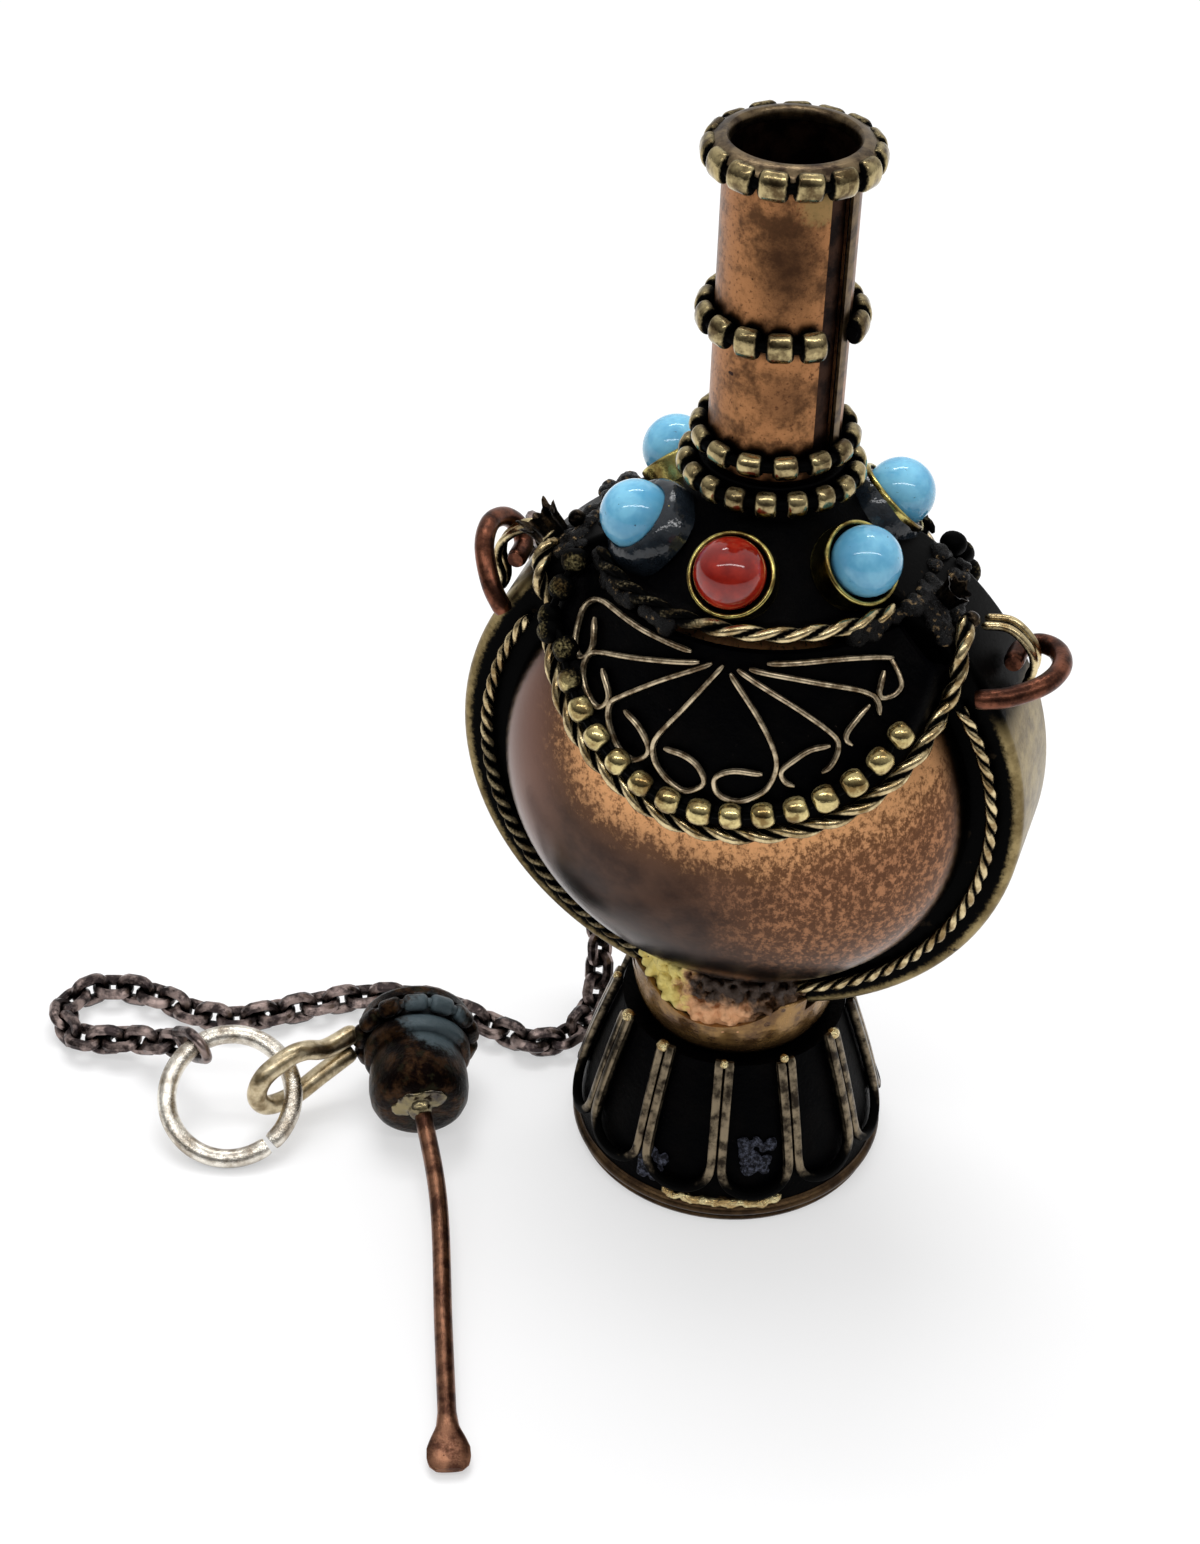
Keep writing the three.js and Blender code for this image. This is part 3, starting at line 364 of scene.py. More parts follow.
def eased(points, per_span=6, closed=False):
    """Points along the smooth curve that passes through points."""
    knots = np.asarray(points, float)
    if closed:
        knots = np.concatenate([knots[-1:], knots, knots[:2]])
    else:
        knots = np.concatenate([2 * knots[:1] - knots[1:2], knots, 2 * knots[-1:] - knots[-2:-1]])
    shares = np.linspace(0, 1, per_span, endpoint=False)[:, None]
    spans = []
    for a, b, c, d in zip(knots, knots[1:], knots[2:], knots[3:]):
        cubic = (3 * (b - c) + d - a) * shares ** 3 + (2 * a - 5 * b + 4 * c - d) * shares ** 2
        spans.append(0.5 * (cubic + (c - a) * shares + 2 * b))
    curve = np.concatenate(spans)
    return curve if closed else np.concatenate([curve, knots[-2:-1]])


def lengths_along(path):
    return np.concatenate([[0], np.cumsum(np.linalg.norm(np.diff(path, axis=0), axis=1))])


def evenly(path, spacing):
    """The same line with its points about evenly spaced."""
    at = lengths_along(path)
    places = np.linspace(0, at[-1], max(2, round(at[-1] / spacing) + 1))
    return np.stack([np.interp(places, at, path[:, k]) for k in range(3)], 1)


def frames_along(path, facing, closed=False):
    """At each point of a path, the direction ahead, the one across, and the one nearest to facing."""
    if closed:
        ahead = np.roll(path, -1, 0) - np.roll(path, 1, 0)
    else:
        ahead = np.gradient(path, axis=0)
    ahead = ahead / np.linalg.norm(ahead, axis=1)[:, None]
    towards = np.broadcast_to(facing(path) if callable(facing) else facing, path.shape)
    above = towards - np.sum(towards * ahead, 1)[:, None] * ahead
    above = above / np.linalg.norm(above, axis=1)[:, None]
    return ahead, np.cross(above, ahead), above


def tube(points, section, facing=(0, 0, 1), closed=False):
    """Vertices, faces and wear of a section carried along points. The section may change on the way.

    Wear is 0 at the foot of the section and 1 on its top, where hands rub it.
    """
    path = np.asarray(points, float)
    section = np.broadcast_to(section, (len(path),) + np.shape(section)[-2:])
    sides = section.shape[1]
    _, across, above = frames_along(path, facing, closed)
    rings = path[:, None] + across[:, None] * section[..., :1] + above[:, None] * section[..., 1:]
    wear = 0.5 + section[..., 1] / np.abs(section[..., 1]).max() / 2
    faces = []
    for i in range(len(path) if closed else len(path) - 1):
        here, there = i * sides, (i + 1) % len(path) * sides
        for k in range(sides):
            onward = (k + 1) % sides
            faces.append((here + k, here + onward, there + onward, there + k))
    if not closed:
        faces.append(tuple(range(sides))[::-1])
        faces.append(tuple(range((len(path) - 1) * sides, len(path) * sides)))
    return rings.reshape(-1, 3), faces, wear.reshape(-1)


def tapered(section, count, ends=2, tip=0.45):
    """A section for each of count points, rounded off towards both ends."""
    shares = np.ones(count)
    for i in range(ends):
        shares[i] = shares[-1 - i] = tip + (1 - tip) * math.sin(math.pi / 2 * i / ends)
    return np.asarray(section)[None] * shares[:, None, None]


def mark_wear(mesh, wear):
    """Keeps on each point of a mesh how much hands rub it, from 0 to 1, for the finishes to read."""
    mesh.attributes.new("wear", "FLOAT", "POINT").data.foreach_set("value", np.asarray(wear, np.float32))


def piece_from(name, shells, angle=40):
    """One object made of closed shells of (vertices, faces, wear)."""
    vertices, faces, wear = [], [], []
    for shell_vertices, shell_faces, shell_wear in shells:
        start = len(vertices)
        vertices.extend(map(tuple, np.asarray(shell_vertices) * MM))
        faces.extend(tuple(start + i for i in face) for face in shell_faces)
        wear.extend(shell_wear)
    mesh = bpy.data.meshes.new(name)
    mesh.from_pydata(vertices, [], faces)
    mark_wear(mesh, wear)
    piece = bpy.data.objects.new(name, mesh)
    bpy.context.collection.objects.link(piece)
    return smooth_shaded(piece, angle)


def rope(points, wire, lobe, twist, facing=(0, -1, 0)):
    """Two strands twisted together: wire is the pair's width, lobe the length of one visible twist."""
    path = evenly(np.asarray(points, float), lobe / 6)
    _, across, above = frames_along(path, facing)
    at = lengths_along(path)
    strand = wire * STRAND_SHARE
    shells = []
    for side in (0, math.pi):
        turn = side + twist * math.pi * at / lobe
        offset = across * np.cos(turn)[:, None] + above * np.sin(turn)[:, None]
        centre = path + offset * (wire - strand) / 2
        section = tapered(circle(strand, STRAND_SIDES), len(path))
        vertices, faces, _ = tube(centre, section, facing)
        reach = np.linalg.norm(vertices.reshape(len(path), STRAND_SIDES, 3) - path[:, None], axis=2)
        shells.append((vertices, faces, np.clip((reach.reshape(-1) / (wire / 2) - 0.55) / 0.4, 0, 1)))
    return shells


def bead_shape(length, width, height, round_off):
    """One bead made at the origin, its hole along X: a short barrel with softened ends."""
    select_only()
    bpy.ops.mesh.primitive_cylinder_add(vertices=20, radius=0.5 * MM, depth=MM, rotation=(0, math.pi / 2, 0))
    bead = bpy.context.object
    bead.scale = (height, width, length)
    settle(bead)
    soften = bead.modifiers.new("soften", "BEVEL")
    soften.width = round_off * MM
    soften.segments = 4
    soften.limit_method = "ANGLE"
    soften.angle_limit = math.radians(50)
    bpy.ops.object.modifier_apply(modifier="soften")
    places = np.empty(len(bead.data.vertices) * 3)
    bead.data.vertices.foreach_get("co", places)
    along = np.abs(places.reshape(-1, 3)[:, 0]) / MM
    ends = np.clip((1 - along / (length / 2)) / 0.3, 0, 1)
    mark_wear(bead.data, ends * np.clip(0.5 + places.reshape(-1, 3)[:, 2] / MM / height, 0, 1))
    return smooth_shaded(bead, 60)


def strung(name, bead, path, places, facing, core, seed, closed=False):
    """Copies of a bead along a path, each a little uneven as hand work is, on a thin wire."""
    at = lengths_along(path)
    ahead, across, above = frames_along(path, facing)
    uneven = np.random.RandomState(seed)
    copies = []
    for place in places:
        i = int(np.argmin(np.abs(at - place)))
        size = 1 + uneven.uniform(-0.05, 0.05, 3)
        axes = np.stack([ahead[i] * size[0], across[i] * size[1], above[i] * size[2]])
        basis = Matrix(axes.tolist()).transposed()
        skew = Matrix.Rotation(uneven.uniform(-0.07, 0.07), 3, "Z")
        twist = skew @ Matrix.Rotation(uneven.uniform(-0.1, 0.1), 3, "X")
        copy = bead.copy()
        copy.data = bead.data.copy()
        bpy.context.collection.objects.link(copy)
        shift = Vector(path[i] + above[i] * uneven.uniform(-0.04, 0.04)) * MM
        copy.matrix_world = Matrix.Translation(shift) @ (basis @ twist).to_4x4()
        copies.append(copy)
    vertices, faces, wear = tube(path[:-1] if closed else path, circle(core, 10), facing, closed)
    wire = piece_from("core", [(vertices, faces, wear * 0)])
    bpy.data.objects.remove(bead)
    select_only(*copies, wire)
    bpy.ops.object.join()
    wire.name = name
    return smooth_shaded(settle(wire), 60)


def turned_round(shells, degrees):
    """The same shells turned about the bottle's axis."""
    turn = np.array(Matrix.Rotation(math.radians(degrees), 3, "Z"))
    return [(vertices @ turn.T, faces, wear) for vertices, faces, wear in shells]


def around_axis(radius, z, degrees):
    """A place round the bottle's axis; the angle runs from the front towards +X."""
    angle = np.radians(degrees)
    radius, z, angle = np.broadcast_arrays(radius, z, angle)
    return np.stack([radius * np.sin(angle), -radius * np.cos(angle), z], -1).astype(float)


def from_axis(path):
    return path * np.array([1, 1, 0])


def lumps(name, places, amount, grain, seed_name):
    """Solder run over a joint: soft balls of (centre, size) melted into one rough lump."""
    balls = []
    for centre, size in places:
        select_only()
        bpy.ops.mesh.primitive_ico_sphere_add(subdivisions=3, radius=MM, location=Vector(centre) * MM)
        ball = bpy.context.object
        ball.scale = size
        balls.append(ball)
    select_only(*balls)
    if len(balls) > 1:
        bpy.ops.object.join()
    piece = bpy.context.object
    piece.name = name
    settle(piece)
    remesh = piece.modifiers.new("melt", "REMESH")
    remesh.mode = "VOXEL"
    remesh.voxel_size = grain * 0.3 * MM
    bpy.ops.object.modifier_apply(modifier="melt")
    return roughened(piece, amount, grain, seed_name)


def roughened(piece, amount, grain, seed_name):
    """Displaces a piece by clouds of grain's width."""
    clouds = bpy.data.textures.new(seed_name, "CLOUDS")
    clouds.noise_scale = grain * MM
    rough = piece.modifiers.new("rough", "DISPLACE")
    rough.texture = clouds
    rough.texture_coords = "GLOBAL"
    rough.strength = amount * MM
    select_only(piece)
    bpy.ops.object.modifier_apply(modifier="rough")
    return smooth_shaded(piece, 60)


def dress(piece, body, finish, slot, *nodes):
    """Gives a piece its finish and its body, and hides the plain nodes that it stands for."""
    piece.data.materials.clear()
    piece.data.materials.append(finish)
    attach(piece, body)
    if nodes:
        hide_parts(*nodes)
    return piece


# Finishes


def colour(red, green, blue):
    """A colour given as it looks, from 0 to 255."""
    value = np.array([red, green, blue]) / 255
    return (*np.where(value < 0.04045, value / 12.92, ((value + 0.055) / 1.055) ** 2.4), 1.0)


class Finish:
    """A material in the making: its nodes read places in millimetres on the object."""

    def __init__(self, name, metallic=1.0, roughness=0.35):
        self.material = bpy.data.materials.new(name)
        self.material.use_nodes = True
        self.nodes = self.material.node_tree.nodes
        self.links = self.material.node_tree.links
        self.shader = self.nodes["Principled BSDF"]
        self.shader.inputs["Metallic"].default_value = metallic
        self.shader.inputs["Roughness"].default_value = roughness
        coordinates = self.nodes.new("ShaderNodeTexCoord")
        mapping = self.nodes.new("ShaderNodeMapping")
        mapping.inputs["Scale"].default_value = (1000, 1000, 1000)
        self.join(coordinates.outputs["Object"], mapping.inputs["Vector"])
        self.place = mapping.outputs["Vector"]

    def join(self, source, target):
        self.links.new(source, target)

    def set(self, socket, value):
        if isinstance(value, (int, float, tuple)):
            socket.default_value = value
        else:
            self.join(value, socket)

    def noise(self, size, detail=4, roughness=0.6, stretch=(1, 1, 1)):
        """Cloudy variation whose patches are about size millimetres wide."""
        node = self.nodes.new("ShaderNodeTexNoise")
        mapping = self.nodes.new("ShaderNodeMapping")
        mapping.inputs["Scale"].default_value = stretch
        self.join(self.place, mapping.inputs["Vector"])
        self.join(mapping.outputs["Vector"], node.inputs["Vector"])
        node.inputs["Scale"].default_value = 1 / size
        node.inputs["Detail"].default_value = detail
        node.inputs["Roughness"].default_value = roughness
        return node.outputs["Fac"]

    def band(self, value, low, high):
        """0 below low and 1 above high."""
        node = self.nodes.new("ShaderNodeMapRange")
        node.interpolation_type = "SMOOTHSTEP"
        self.join(value, node.inputs["Value"])
        node.inputs["From Min"].default_value = low
        node.inputs["From Max"].default_value = high
        return node.outputs["Result"]

    def maths(self, operation, first, second):
        node = self.nodes.new("ShaderNodeMath")
        node.operation = operation
        self.set(node.inputs[0], first)
        self.set(node.inputs[1], second)
        return node.outputs["Value"]

    def plus(self, first, second):
        return self.maths("ADD", first, second)

    def times(self, first, second):
        return self.maths("MULTIPLY", first, second)

    def frayed(self, measure, cloud, amount):
        """A measure shifted by a cloud, so that a band of it gets a ragged edge."""
        return self.plus(measure, self.times(cloud, amount))

    def blend(self, share, first, second):
        node = self.nodes.new("ShaderNodeMix")
        node.data_type = "RGBA"
        self.set(node.inputs["Factor"], share)
        self.set(node.inputs["A"], first)
        self.set(node.inputs["B"], second)
        return node.outputs["Result"]

    def mottled(self, cloud, low, high, first, second):
        """First where the cloud is below low, second where it is above high."""
        return self.blend(self.band(cloud, low, high), first, second)

    def between(self, share, first, second):
        """A number that goes from first to second with share."""
        node = self.nodes.new("ShaderNodeMapRange")
        self.join(share, node.inputs["Value"])
        node.inputs["To Min"].default_value = first
        node.inputs["To Max"].default_value = second
        return node.outputs["Result"]

    def attribute(self, name):
        node = self.nodes.new("ShaderNodeAttribute")
        node.attribute_name = name
        return node.outputs["Fac"]

    def axis(self, letter):
        node = self.nodes.new("ShaderNodeSeparateXYZ")
        self.join(self.place, node.inputs["Vector"])
        return node.outputs[letter]

    def distance(self, centre, stretch=(1, 1, 1)):
        """The distance in millimetres from a place, with some directions counted less."""
        mapping = self.nodes.new("ShaderNodeMapping")
        mapping.inputs["Location"].default_value = tuple(-c * s for c, s in zip(centre, stretch))
        mapping.inputs["Scale"].default_value = stretch
        self.join(self.place, mapping.inputs["Vector"])
        node = self.nodes.new("ShaderNodeVectorMath")
        node.operation = "LENGTH"
        self.join(mapping.outputs["Vector"], node.inputs[0])
        return node.outputs["Value"]

    def openness(self, reach, low=0.35, high=0.85):
        """0 deep in a recess, where shade falls, and 1 where the surface stands free: ambient occlusion, used
        to paint shade.
        """
        node = self.nodes.new("ShaderNodeAmbientOcclusion")
        node.samples = 6
        node.inputs["Distance"].default_value = reach * MM
        return self.band(node.outputs["AO"], low, high)

    def patina_and_shade_in_recesses(self, reach, low, high, dark, metal):
        """Metal with a dark colour in its recesses, found by ambient occlusion: patina and painted shade."""
        return self.blend(self.openness(reach, low, high), dark, metal)

    def relief(self, height, depth):
        node = self.nodes.new("ShaderNodeBump")
        node.inputs["Strength"].default_value = 1.0
        node.inputs["Distance"].default_value = depth * MM
        self.join(height, node.inputs["Height"])
        self.join(node.outputs["Normal"], self.shader.inputs["Normal"])

    def dull(self, level):
        """Turns down the gloss of what isn't metal."""
        self.shader.inputs["Specular IOR Level"].default_value = level

    def paint(self, base, roughness=None, metallic=None):
        self.set(self.shader.inputs["Base Color"], base)
        if roughness is not None:
            self.set(self.shader.inputs["Roughness"], roughness)
        if metallic is not None:
            self.set(self.shader.inputs["Metallic"], metallic)
        return self.material


# Near black, for the patina in recesses and for the shade painted with it.
PATINA_AND_SHADE = colour(2, 2, 2)
PATINA_GLOSS = 0.02


def worn_metal(
    name, bright, shade, reach, low=0.35, high=0.85, roughness=(0.5, 0.24), blotch=1.4, grain=0.16,
    depth=0.012, marked=False,
):
    """Metal rubbed bright where it stands free, with black patina and painted shade left in its recesses.

    Recesses are looked for as far off as reach. Blotch and grain are the widths of its stains and of its
    fine relief, and roughness goes from the patina's to the bare metal's. A marked piece also keeps its
    patina where its mesh says that nothing rubs it.
    """
    finish = Finish(name)
    finish.dull(PATINA_GLOSS)
    fine = finish.noise(grain, 3)
    metal = finish.mottled(finish.noise(blotch, 5, 0.65), 0.36, 0.62, shade, bright)
    # Ambient occlusion decides where the metal shows: patina and painted shade fill the recesses.
    unshaded = finish.openness(reach, low, high)
    rubbed = finish.band(finish.frayed(unshaded, fine, 0.5), 0.5, 1.1)
    if marked:
        mark = finish.frayed(finish.attribute("wear"), fine, 0.5)
        rubbed = finish.times(rubbed, finish.band(mark, 0.5, 0.95))
    finish.relief(fine, depth)
    base = finish.blend(rubbed, PATINA_AND_SHADE, metal)
    return finish.paint(base, finish.between(rubbed, *roughness), finish.between(rubbed, 0.1, 1.0))


def rope_brass():
    return worn_metal(
        "rope_brass", colour(226, 206, 160), colour(138, 114, 76), reach=0.5, low=0.2, high=0.8,
        roughness=(0.5, 0.22), marked=True,
    )


def bead_brass():
    return worn_metal(
        "bead_brass", colour(222, 204, 144), colour(128, 104, 64), reach=0.7, low=0.2, high=0.8,
        roughness=(0.5, 0.16), marked=True,
    )


def neck_bead_brass():
    return worn_metal(
        "neck_bead_brass", colour(190, 172, 126), colour(92, 76, 52), reach=0.7, low=0.2, high=0.8,
        roughness=(0.5, 0.18), marked=True,
    )


def lip_brass():
    return worn_metal(
        "lip_brass", colour(128, 110, 84), colour(62, 50, 40), reach=0.9, low=0.3, roughness=(0.5, 0.28),
    )


def scroll_brass():
    return worn_metal(
        "scroll_brass", colour(214, 196, 164), colour(112, 94, 72), reach=0.35, low=0.2, high=0.7,
        roughness=(0.5, 0.3), blotch=0.8, marked=True,
    )


def petal_brass():
    return worn_metal(
        "petal_brass", colour(136, 122, 100), colour(40, 34, 28), reach=0.5, low=0.25,
        roughness=(0.55, 0.3), blotch=1.1, grain=0.5, marked=True,
    )


def bezel_brass():
    return worn_metal(
        "bezel_brass", colour(214, 200, 120), colour(104, 86, 46), reach=0.8, low=0.25, high=0.75,
        roughness=(0.5, 0.2), blotch=1.8,
    )


def strip_brass():
    """The brassy strip beside the neck's seam, black along its edges with patina and painted shade."""
    return worn_metal(
        "strip_brass", colour(112, 92, 64), colour(58, 44, 32), reach=0.8, roughness=(0.5, 0.3),
    )


def crown_bronze():
    """Nearly black bronze, a little brighter only where it stands quite free, with patina and painted shade
    over the rest.
    """
    return worn_metal("crown_bronze", colour(84, 70, 54), colour(8, 6, 6), reach=0.7, low=0.6, high=1.15)


def eye_bronze():
    return worn_metal(
        "eye_bronze", colour(226, 210, 176), colour(152, 132, 98), reach=1.0, low=0.2, high=0.7,
        roughness=(0.5, 0.3), blotch=1.6, grain=0.3, depth=0.03,
    )


def grey_solder():
    return worn_metal("grey_solder", colour(140, 128, 96), colour(84, 78, 74), reach=0.8, low=0.2, high=0.7)


def blackened_sheet():
    finish = Finish("blackened_sheet", 0.0)
    finish.dull(PATINA_GLOSS)
    grain = finish.noise(0.5, 6, 0.7)
    dark = finish.mottled(finish.noise(2.5), 0.4, 0.7, colour(1, 1, 2), colour(5, 4, 4))
    finish.relief(grain, 0.08)
    base = finish.mottled(finish.noise(0.3, 2), 0.73, 0.79, dark, colour(44, 38, 34))
    return finish.paint(base, finish.between(grain, 0.18, 0.5))


def dome_copper():
    """Mottled bright copper along the shield's edge and down the right as a painted highlight, smooth brown
    below with painted shade at the bottom, and a violet tinge at the left.
    """
    finish = Finish("dome_copper")
    cloud = finish.noise(4.5, 5, 0.62)
    mottle = finish.noise(0.45, 6, 0.8, (1, 1, 0.7))
    from_shield = finish.distance((0.5, 0, BIB_ARC_Z), (1, 0, 1.24))
    # Painted highlight: the light from above, reflected as bright mottled copper along the shield's edge, but
    # not at the left.
    lit = finish.band(finish.frayed(from_shield, cloud, 5.0), 24.0, 17.0)
    lit = finish.times(lit, finish.band(finish.axis("X"), -13.5, -7.5))
    bright = finish.mottled(
        finish.frayed(mottle, lit, 0.22), 0.56, 0.72, colour(112, 76, 50), colour(216, 160, 110)
    )
    smooth = finish.mottled(cloud, 0.35, 0.65, colour(52, 38, 32), colour(80, 58, 46))
    # The painted highlight runs on down the right side, over speckled copper.
    speckled_sheen = finish.mottled(mottle, 0.46, 0.6, colour(96, 64, 44), colour(176, 124, 88))
    sheen_to_the_right = finish.times(finish.band(finish.frayed(finish.axis("X"), cloud, 6.0), 2.0, 11.0), 0.8)
    smooth = finish.blend(sheen_to_the_right, smooth, speckled_sheen)
    leftward = finish.times(finish.band(finish.axis("X"), -9.0, -13.5), 0.75)
    smooth = finish.blend(leftward, smooth, colour(114, 82, 70))
    metal = finish.blend(lit, smooth, bright)
    # Painted shade: darker towards the bottom.
    metal = finish.mottled(finish.frayed(finish.axis("Z"), cloud, 4.0), 28.0, 22.5, metal, colour(22, 13, 9))
    # Patina and painted shade: black at the dome's edge, beside the rope.
    across = finish.distance((0, 0, BODY_Z), (1, 0, 1))
    base = finish.mottled(finish.frayed(across, mottle, 1.0), 15.7, 16.7, metal, PATINA_AND_SHADE)
    # Patina and painted shade in its recesses.
    base = finish.patina_and_shade_in_recesses(2.0, 0.25, 0.7, colour(20, 12, 9), base)
    finish.relief(finish.noise(0.3, 4), 0.01)
    return finish.paint(base, finish.between(lit, 0.24, 0.42))


def neck_copper():
    """Orange copper with dark mottling, brown stains in front and brass bled from the solder."""
    finish = Finish("neck_copper")
    cloud = finish.noise(2.6, 6, 0.7)
    fine = finish.noise(0.3, 5, 0.78)
    base = finish.mottled(cloud, 0.38, 0.6, colour(84, 57, 37), colour(166, 116, 76))
    base = finish.mottled(fine, 0.53, 0.66, base, colour(92, 60, 40))
    # Each stain's centre, stretch, fraying, limits, strength and colour
    for centre, stretch, fraying, outer, inner, strength, stain in (
        ((1.2, -4, 73.4), (1, 1, 0.55), 2.6, 4.2, 1.6, 0.85, colour(54, 35, 24)),
        ((1.4, -4, 64.5), (1, 1, 0.9), 2.2, 3.2, 1.6, 0.5, colour(76, 50, 34)),
        ((2.9, -3.2, 77.2), (0.9, 1, 1.2), 2.4, 2.9, 2.1, 0.7, colour(136, 116, 74)),
    ):
        measure = finish.frayed(finish.distance(centre, stretch), fine, fraying)
        base = finish.blend(finish.times(finish.band(measure, outer, inner), strength), base, stain)
    base = finish.mottled(finish.noise(0.7, 1), 0.76, 0.79, base, colour(46, 30, 24))
    # Patina and painted shade in its recesses.
    base = finish.patina_and_shade_in_recesses(0.9, 0.4, 0.85, colour(20, 13, 10), base)
    finish.relief(fine, 0.015)
    return finish.paint(base, finish.between(fine, 0.24, 0.48))


def band_brass():
    """Pale khaki brass, black with patina and painted shade beside the rope and up to the shoulders, spotted
    with dark marks.
    """
    finish = Finish("band_brass")
    finish.dull(PATINA_GLOSS)
    cloud = finish.noise(2.4, 6, 0.7)
    fine = finish.noise(0.4, 5, 0.75)
    metal = finish.mottled(cloud, 0.35, 0.65, colour(108, 92, 60), colour(158, 140, 98))
    metal = finish.mottled(fine, 0.6, 0.76, metal, colour(80, 66, 42))
    # Patina and painted shade: black on the band beside the rope and up to the shoulders; bare metal only on
    # its outer round below them.
    across = finish.distance((0, 0, BODY_Z), (1, 0, 1))
    rim = finish.band(finish.frayed(across, fine, 0.9), 19.3, 19.75)
    height = finish.frayed(finish.frayed(finish.axis("Z"), cloud, 3.0), finish.axis("X"), 0.11)
    kept = finish.times(rim, finish.band(height, 47.8, 45.8))
    base = finish.blend(kept, PATINA_AND_SHADE, metal)
    base = finish.mottled(finish.noise(1.6, 3), 0.66, 0.72, base, colour(40, 32, 22))
    # Patina and painted shade in its recesses.
    base = finish.patina_and_shade_in_recesses(1.2, 0.3, 0.8, PATINA_AND_SHADE, base)
    finish.relief(fine, 0.02)
    return finish.paint(base, finish.between(fine, 0.26, 0.46), finish.between(kept, 0.1, 1.0))


def saddle_gold():
    """Polished yellow brass, brown below, and dark with patina and painted shade in its folds."""
    finish = Finish("saddle_gold", 0.6)
    cloud = finish.noise(2.0, 5, 0.65)
    metal = finish.mottled(cloud, 0.36, 0.62, colour(104, 74, 44), colour(166, 128, 76))
    low = finish.band(finish.frayed(finish.axis("Z"), cloud, 2.0), 15.6, 14.2)
    metal = finish.blend(finish.times(low, 0.75), metal, colour(88, 64, 40))
    # Patina and painted shade in its folds.
    base = finish.patina_and_shade_in_recesses(0.3, 0.2, 0.7, colour(24, 16, 11), metal)
    finish.relief(finish.noise(0.8, 3), 0.08)
    return finish.paint(base, finish.between(cloud, 0.14, 0.34))


def solder_gold():
    """Rough bright solder, pink in the middle, with a painted yellow highlight at the left and painted shade at
    the right and the top.
    """
    finish = Finish("solder_gold", 0.3)
    cloud = finish.noise(1.0, 4)
    side = finish.frayed(finish.axis("X"), cloud, 5.0)
    # Painted highlight: yellow at the left, where the light falls, over pink solder.
    metal = finish.mottled(side, -0.3, 1.2, colour(255, 234, 138), colour(244, 184, 134))
    # Painted shade: dark at the right.
    metal = finish.mottled(side, 4.4, 6.4, metal, colour(104, 74, 48))
    # Painted shade at the top of the right half, under the dome.
    top = finish.band(finish.frayed(finish.axis("Z"), cloud, 3.0), 18.2, 19.6)
    metal = finish.blend(finish.times(top, finish.band(side, 0.0, 2.0)), metal, colour(60, 42, 28))
    # Patina and painted shade in its recesses.
    base = finish.patina_and_shade_in_recesses(0.3, 0.15, 0.65, colour(36, 20, 10), metal)
    finish.relief(finish.noise(0.35, 4, 0.7), 0.2)
    return finish.paint(base, finish.between(finish.noise(0.5), 0.1, 0.26))


def crumb_solder():
    """Bright solder run along the foot's rim and onto the petals' tops."""
    finish = Finish("foot_solder")
    metal = finish.mottled(finish.noise(0.8), 0.4, 0.6, colour(236, 220, 168), colour(188, 158, 106))
    # Patina and painted shade in its recesses.
    base = finish.patina_and_shade_in_recesses(0.4, 0.2, 0.8, colour(30, 22, 15), metal)
    finish.relief(finish.noise(0.2, 4), 0.1)
    return finish.paint(base, finish.between(finish.noise(0.5), 0.12, 0.34))


def grey_crust():
    """Blue-grey crust of old flux."""
    finish = Finish("grey_crust", 0.0, 0.6)
    finish.dull(0.2)
    fine = finish.noise(0.25, 5, 0.75)
    finish.relief(fine, 0.2)
    return finish.paint(finish.mottled(fine, 0.45, 0.62, colour(14, 14, 22), colour(92, 96, 112)))


def black_crust():
    """Lumpy black dirt and solder with a little brass showing."""
    finish = Finish("black_crust", 0.0, 0.3)
    finish.dull(0.15)
    fine = finish.noise(0.35, 5, 0.7)
    flecks = finish.band(finish.noise(0.6, 3), 0.6, 0.68)
    finish.relief(fine, 0.2)
    base = finish.blend(flecks, colour(3, 2, 2), colour(130, 108, 78))
    return finish.paint(base, finish.between(fine, 0.12, 0.4), finish.between(flecks, 0.0, 1.0))


def foot_brass():
    """Brown worn brass with dark flecks."""
    finish = Finish("foot_brass")
    cloud = finish.noise(2.6, 6, 0.7)
    fine = finish.noise(0.3, 5, 0.7)
    metal = finish.mottled(cloud, 0.36, 0.64, colour(50, 37, 27), colour(86, 67, 46))
    base = finish.mottled(fine, 0.6, 0.74, metal, colour(48, 33, 24))
    finish.relief(fine, 0.03)
    return finish.paint(base, finish.between(cloud, 0.26, 0.46))


def dark_copper(name, bright, shade):
    """Old reddish copper wire, brighter along its worn streaks."""
    finish = Finish(name)
    cloud = finish.noise(1.6, 5, 0.65)
    fine = finish.noise(0.25, 4)
    metal = finish.mottled(cloud, 0.38, 0.64, shade, bright)
    base = finish.mottled(fine, 0.6, 0.76, metal, shade)
    finish.relief(fine, 0.02)
    return finish.paint(base, finish.between(cloud, 0.42, 0.24))


def silver_wire():
    finish = Finish("silver_wire")
    marks = finish.noise(0.3, 4, 0.7, (1, 1, 2.5))
    metal = finish.mottled(finish.noise(1.5), 0.35, 0.65, colour(170, 158, 142), colour(250, 244, 232))
    # Tarnish and painted shade in its recesses.
    base = finish.patina_and_shade_in_recesses(0.8, 0.3, 0.7, colour(50, 44, 38), metal)
    finish.relief(marks, 0.03)
    return finish.paint(base, finish.between(marks, 0.16, 0.36))


